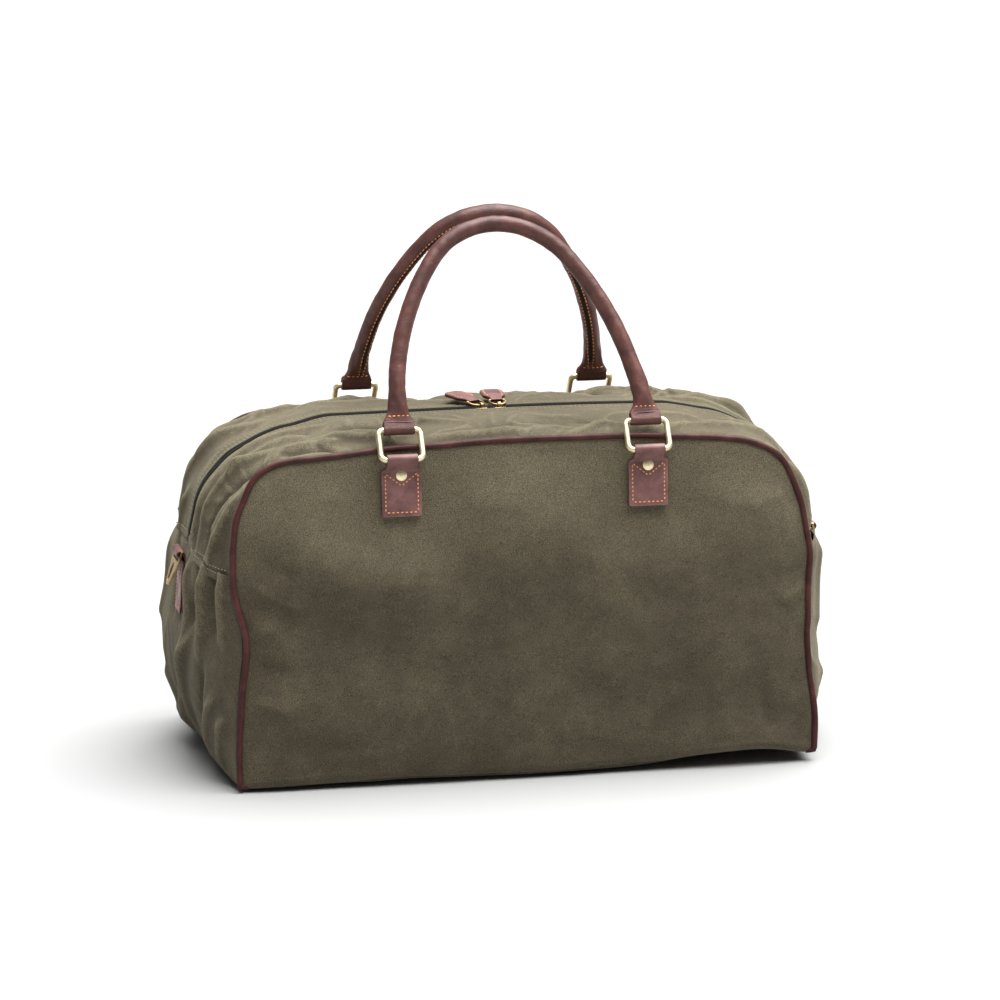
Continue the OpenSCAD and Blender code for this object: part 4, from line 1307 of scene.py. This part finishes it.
def end_tab_stitching(name, right, width, bottom):
    half = width / 2 - 3
    sign = 1 if right else -1
    rows = []
    for y0, w0, y1, w1 in [(-half, 172, -half, bottom + 3), (-half, bottom + 3, half, bottom + 3),
                           (half, bottom + 3, half, 172), (-half, 166, half, 166)]:
        t = np.linspace(0.02, 0.98, 30)
        w = w0 + (w1 - w0) * t
        path = end_line(w, right, -4.15)
        path[:, 1] = y0 + (y1 - y0) * t
        rows.append((path, np.array([sign, 0, 0.2])))
    piece(stitches(name, rows, length=2.5, gap=1.0, radius=0.5), "bag", ORANGE)


def end_ring(name, right, node, body):
    """Flat ring with a tapered hole, hanging from its bar, with bevelled edges."""
    sign = 1 if right else -1
    bar = np.array([sign * END_BAR_X, 0.0, END_BAR_Z])
    lean = math.radians(9 if right else 20)
    down = np.array([sign * math.sin(lean), 0, -math.cos(lean)])
    out = np.array([sign * math.cos(lean), 0, math.sin(lean)])
    half, reach = 17.0, 30.0
    outer = round_polygon([(-half, 4), (half, 4), (half, -6), (5, -reach), (-5, -reach), (-half, -6)],
                          [2, 2, 3, 5, 5, 3])
    window = round_polygon([(-14.4, -0.5), (14.4, -0.5), (14.4, -6), (-14.4, -6)], [1, 1, 1, 1])
    hole = round_polygon([(-4.4, -9.4), (4.4, -9.4), (4.6, -16), (2.8, -26.8), (-2.8, -26.8), (-4.6, -16)],
                         [3.5, 3.5, 3, 2.5, 2.5, 3])
    obj = plate(name, [outer, window, hole], 2.2, bar, Y_AXIS, -down, out)
    piece(obj, body, OLD_BRASS, [node])


def round_polygon(corners, radii, n=6):
    """Closed outline with each corner rounded by a quadratic bend."""
    pts = np.array(corners, float)
    out = []
    for i, p in enumerate(pts):
        a, b = pts[i - 1], pts[(i + 1) % len(pts)]
        ra = min(radii[i], np.linalg.norm(a - p) * 0.49)
        rb = min(radii[i], np.linalg.norm(b - p) * 0.49)
        p0 = p + (a - p) / np.linalg.norm(a - p) * ra
        p1 = p + (b - p) / np.linalg.norm(b - p) * rb
        for t in np.linspace(0, 1, n):
            out.append((1 - t) ** 2 * p0 + 2 * t * (1 - t) * p + t**2 * p1)
    return np.array(out)


X_AXIS, Y_AXIS, Z_AXIS = np.eye(3)


def plate(name, loops, thickness, origin, x_axis, y_axis, z_axis):
    """Flat plate with holes and bevelled edges, filled from curves."""
    data = bpy.data.curves.new(name, "CURVE")
    data.dimensions = "2D"
    data.fill_mode = "BOTH"
    bevel = 0.45
    data.extrude = (thickness / 2 - bevel) / 1000
    data.bevel_depth = bevel / 1000
    data.bevel_resolution = 3
    for loop in loops:
        spline = data.splines.new("POLY")
        spline.points.add(len(loop) - 1)
        for point, (px, py) in zip(spline.points, loop):
            point.co = (px / 1000, py / 1000, 0, 1)
        spline.use_cyclic_u = True
    data.offset = -bevel / 1000
    source = add_object(name + "_curve", data)
    bpy.context.view_layer.update()
    mesh = bpy.data.meshes.new_from_object(source.evaluated_get(bpy.context.evaluated_depsgraph_get()))
    bpy.data.objects.remove(source)
    co = np.zeros(len(mesh.vertices) * 3, np.float32)
    mesh.vertices.foreach_get("co", co)
    co = co.reshape(-1, 3)
    placed = np.asarray(origin) / 1000 + co[:, :1] * x_axis + co[:, 1:2] * y_axis + co[:, 2:] * z_axis
    mesh.vertices.foreach_set("co", placed.astype(np.float32).ravel())
    mesh.name = name
    return add_object(name, mesh)


# ---- zip pulls and sliders ----


def pull_frame(slider, turn):
    """Origin in the slider's eye, and the axes across, along and above the pull."""
    low, high = box_mm(slider)
    origin = np.array([(low[0] + high[0]) / 2, 0.0, EYE_Z])
    turn, rise = math.radians(turn), math.radians(10)
    across = np.array([math.cos(turn), math.sin(turn), 0])
    along = np.array([-math.sin(turn) * math.cos(rise), math.cos(turn) * math.cos(rise), math.sin(rise)])
    return origin, across, along, np.cross(across, along)


def zip_pull(name, slider, turn, body, node):
    origin, across, along, above = pull_frame(slider, turn)
    bar, length, width, neck, inset = 10.9, 31.0, 20.0, 10.8, 2.6
    d = np.linspace(-2.2, length, 80)
    half = np.where(d < 12, neck / 2 + (width - neck) / 2 * smooth((d - 3) / 9), width / 2)
    half = np.minimum(half, corner_width(length - d, width / 2, 6.0))
    path = origin + (bar + d)[:, None] * along
    path = path - (3.0 * (np.clip(d, 0, length) / length) ** 2)[:, None] * above
    bow = 0.35 * np.sin(np.clip(d, 0, length) / length * math.pi)
    obj = strap(name, path, np.maximum(half, 0.6), 3.2, above, bow=bow)
    piece(subdivide(obj), body, EDGED, [node])
    rows = []
    for sx in (-1, 1):
        t = np.linspace(8, length - 3.4, 30)
        tip = corner_width(length - inset - t, width / 2 - inset, 4)
        lateral = sx * np.minimum(np.interp(t, d, half) - inset, tip)
        points = origin + (bar + t)[:, None] * along + lateral[:, None] * across + (1.65 + 0.2) * above
        points = points - (3.0 * (t / length) ** 2)[:, None] * above
        rows.append((points, above))
        rows.append((points - 2 * (1.65 + 0.02) * above, -above))
    piece(stitches(name + "_stitching", rows, length=2.3, gap=1.0, radius=0.46), body, ORANGE)


def slider(name, node, nose, turn, body):
    """Slider with rounded wings, a ridge between them and a bridge for the pull ring."""
    low, high = box_mm(node)
    cx = (low[0] + high[0]) / 2
    plan = round_polygon([(-6 * nose, -3.1), (-2 * nose, -3.6), (2.5 * nose, -4.35), (6 * nose, -3.4),
                          (6 * nose, 3.4), (2.5 * nose, 4.35), (-2 * nose, 3.6), (-6 * nose, 3.1)],
                         [1.2, 2, 2, 2.2, 2.2, 2, 2, 1.2])
    if nose < 0:
        plan = plan[::-1]
    for word, scale, rise, nodes in (("_body", 1, 0.9, [node]), ("_under", 0.97, -2.8, [])):
        centre = np.array([cx, 0, SLIDER_Z + rise])
        wing = plate(name + word, [plan * scale], 1.3, centre, X_AXIS, Y_AXIS, Z_AXIS)
        piece(wing, body, OLD_BRASS, nodes)
    a = np.linspace(-0.25, math.pi + 0.25, 24)
    turn = math.radians(turn)
    along = np.array([-math.sin(turn), math.cos(turn), 0])
    path = np.array([cx, 0, EYE_Z]) + 2.35 * np.cos(a)[:, None] * along
    path = path + (2.1 * np.sin(a))[:, None] * Z_AXIS
    across = np.array([math.cos(turn), math.sin(turn), 0])
    sections = np.tile(rounded_section(1.5, 0.55, 0.4), (len(path), 1, 1))
    up = np.cross(np.gradient(path, axis=0), across)
    bridge = tube(name + "_bridge", path, None, up, sections=sections)
    piece(bridge, body, OLD_BRASS)


# ---- carried-over CAD nodes ----


def dress_node(node, material):
    paint(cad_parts[node], material)


# ---- studio ----


def floor():
    half = 14
    corners = [(-half, -half, 0), (half, -half, 0), (half, half, 0), (-half, half, 0)]
    data = bpy.data.meshes.new("floor")
    data.from_pydata(corners, [], [(0, 1, 2, 3)])
    obj = add_object("floor", data)
    s = Shader("studio_floor")
    colour = s.ramp(s.noise(2, 2, 0.5), [(0.3, (0.345, 0.345, 0.345, 1)), (0.7, (0.36, 0.36, 0.358, 1))])
    obj.data.materials.append(s.finish(colour, 0.7, Specular_IOR_Level=0.2))


def studio():
    """Soft studio light: a wide overhead softbox in the world, so that metal reflects it too."""
    floor()
    world = bpy.data.worlds.new("studio")
    world.use_nodes = True
    tree = world.node_tree
    coords = tree.nodes.new("ShaderNodeTexCoord")
    dot = tree.nodes.new("ShaderNodeVectorMath")
    dot.operation = "DOT_PRODUCT"
    dot.inputs[1].default_value = Vector((0.25, 0.05, 1.0)).normalized()
    glow = tree.nodes.new("ShaderNodeMapRange")
    glow.interpolation_type = "SMOOTHSTEP"
    set_range(glow, 0.70, 0.975, 0.18, 11.2)
    tree.links.new(coords.outputs["Generated"], dot.inputs[0])
    tree.links.new(dot.outputs["Value"], glow.inputs["Value"])
    tree.links.new(glow.outputs["Result"], tree.nodes["Background"].inputs["Strength"])
    tree.nodes["Background"].inputs["Color"].default_value = (1, 1, 1, 1)
    bpy.context.scene.world = world
    bpy.context.scene.view_settings.view_transform = "Standard"


def camera():
    """Camera a little to the left of the front and a little above, framing the whole bag."""
    data = bpy.data.cameras.new("camera")
    data.lens, data.sensor_width = 162.4, 36
    data.clip_end = 60
    obj = add_object("camera", data)
    azimuth, elevation, distance = math.radians(11.77), math.radians(12.27), 3.947
    target = Vector((0.0019, 0, 0.2147))
    level = math.cos(elevation)
    away = Vector((-math.sin(azimuth) * level, -math.cos(azimuth) * level, math.sin(elevation)))
    obj.location = target + away * distance
    obj.rotation_euler = (-away).to_track_quat("-Z", "Y").to_euler()
    bpy.context.scene.camera = obj


# ---- assembly ----

camera()
wall_panel("front_canvas", -1, "front_panel")
wall_panel("back_canvas", 1, "back_panel")
end_panel("left_end_canvas", False, "left_end_panel")
end_panel("right_end_canvas", True, "right_end_panel")
top_strip("front_top_canvas", -1, ["front_top_strip", "front_mouth_flap"])
top_strip("back_top_canvas", 1, ["back_top_strip", "back_mouth_flap"])
for side, word in ((-1, "front"), (1, "back")):
    zip_tape(word + "_tape", side, [word + "_zip_tape", word + "_zip_tape_ends"])
    zip_coil(word + "_coil_row", side, [word + "_coil", word + "_coil_ends"])
    zip_stitching(word + "_zip_stitching", side)
    piping(word + "_piping_leather", side, word + "_piping", word + "_piping_cord")
    base_seam(word + "_base_seam", side)
    lining_wall(word + "_lining", side, "lining_" + word)
    handle(word + "_handle", side, word + "_handle", [word + "_handle_cover", word + "_handle_core"])
    for x, hand in ((-RING_X, "left"), (RING_X, "right")):
        chape(f"{word}_{hand}_chape", side, x, f"chape_{word}_{hand}")
        dress_node(f"ring_{word}_{hand}", BRASS)
for right, hand in ((False, "left"), (True, "right")):
    hem_stitching(hand + "_hem_stitching", right)
    lining_end(hand + "_lining", right, "lining_" + hand)
    end_tab(hand + "_end_tab", right, "end_tab_" + hand)
    end_ring(hand + "_ring_plate", right, "end_ring_" + hand, hand + "_end_ring")
base("base_canvas")
lining_base("base_lining")
board("stiffening_board")
for hand, turn, nose in (("left", 28, 1), ("right", 0, -1)):
    zip_pull(hand + "_pull_leather", "slider_" + hand, turn, hand + "_pull", "zip_pull_" + hand)
    slider(hand + "_slider", "slider_" + hand, nose, turn, hand + "_slider")
    dress_node("pull_ring_" + hand, OLD_BRASS)
dress_node("chape_rivets", BRASS)
dress_node("rivet_burrs", OLD_BRASS)
studio()
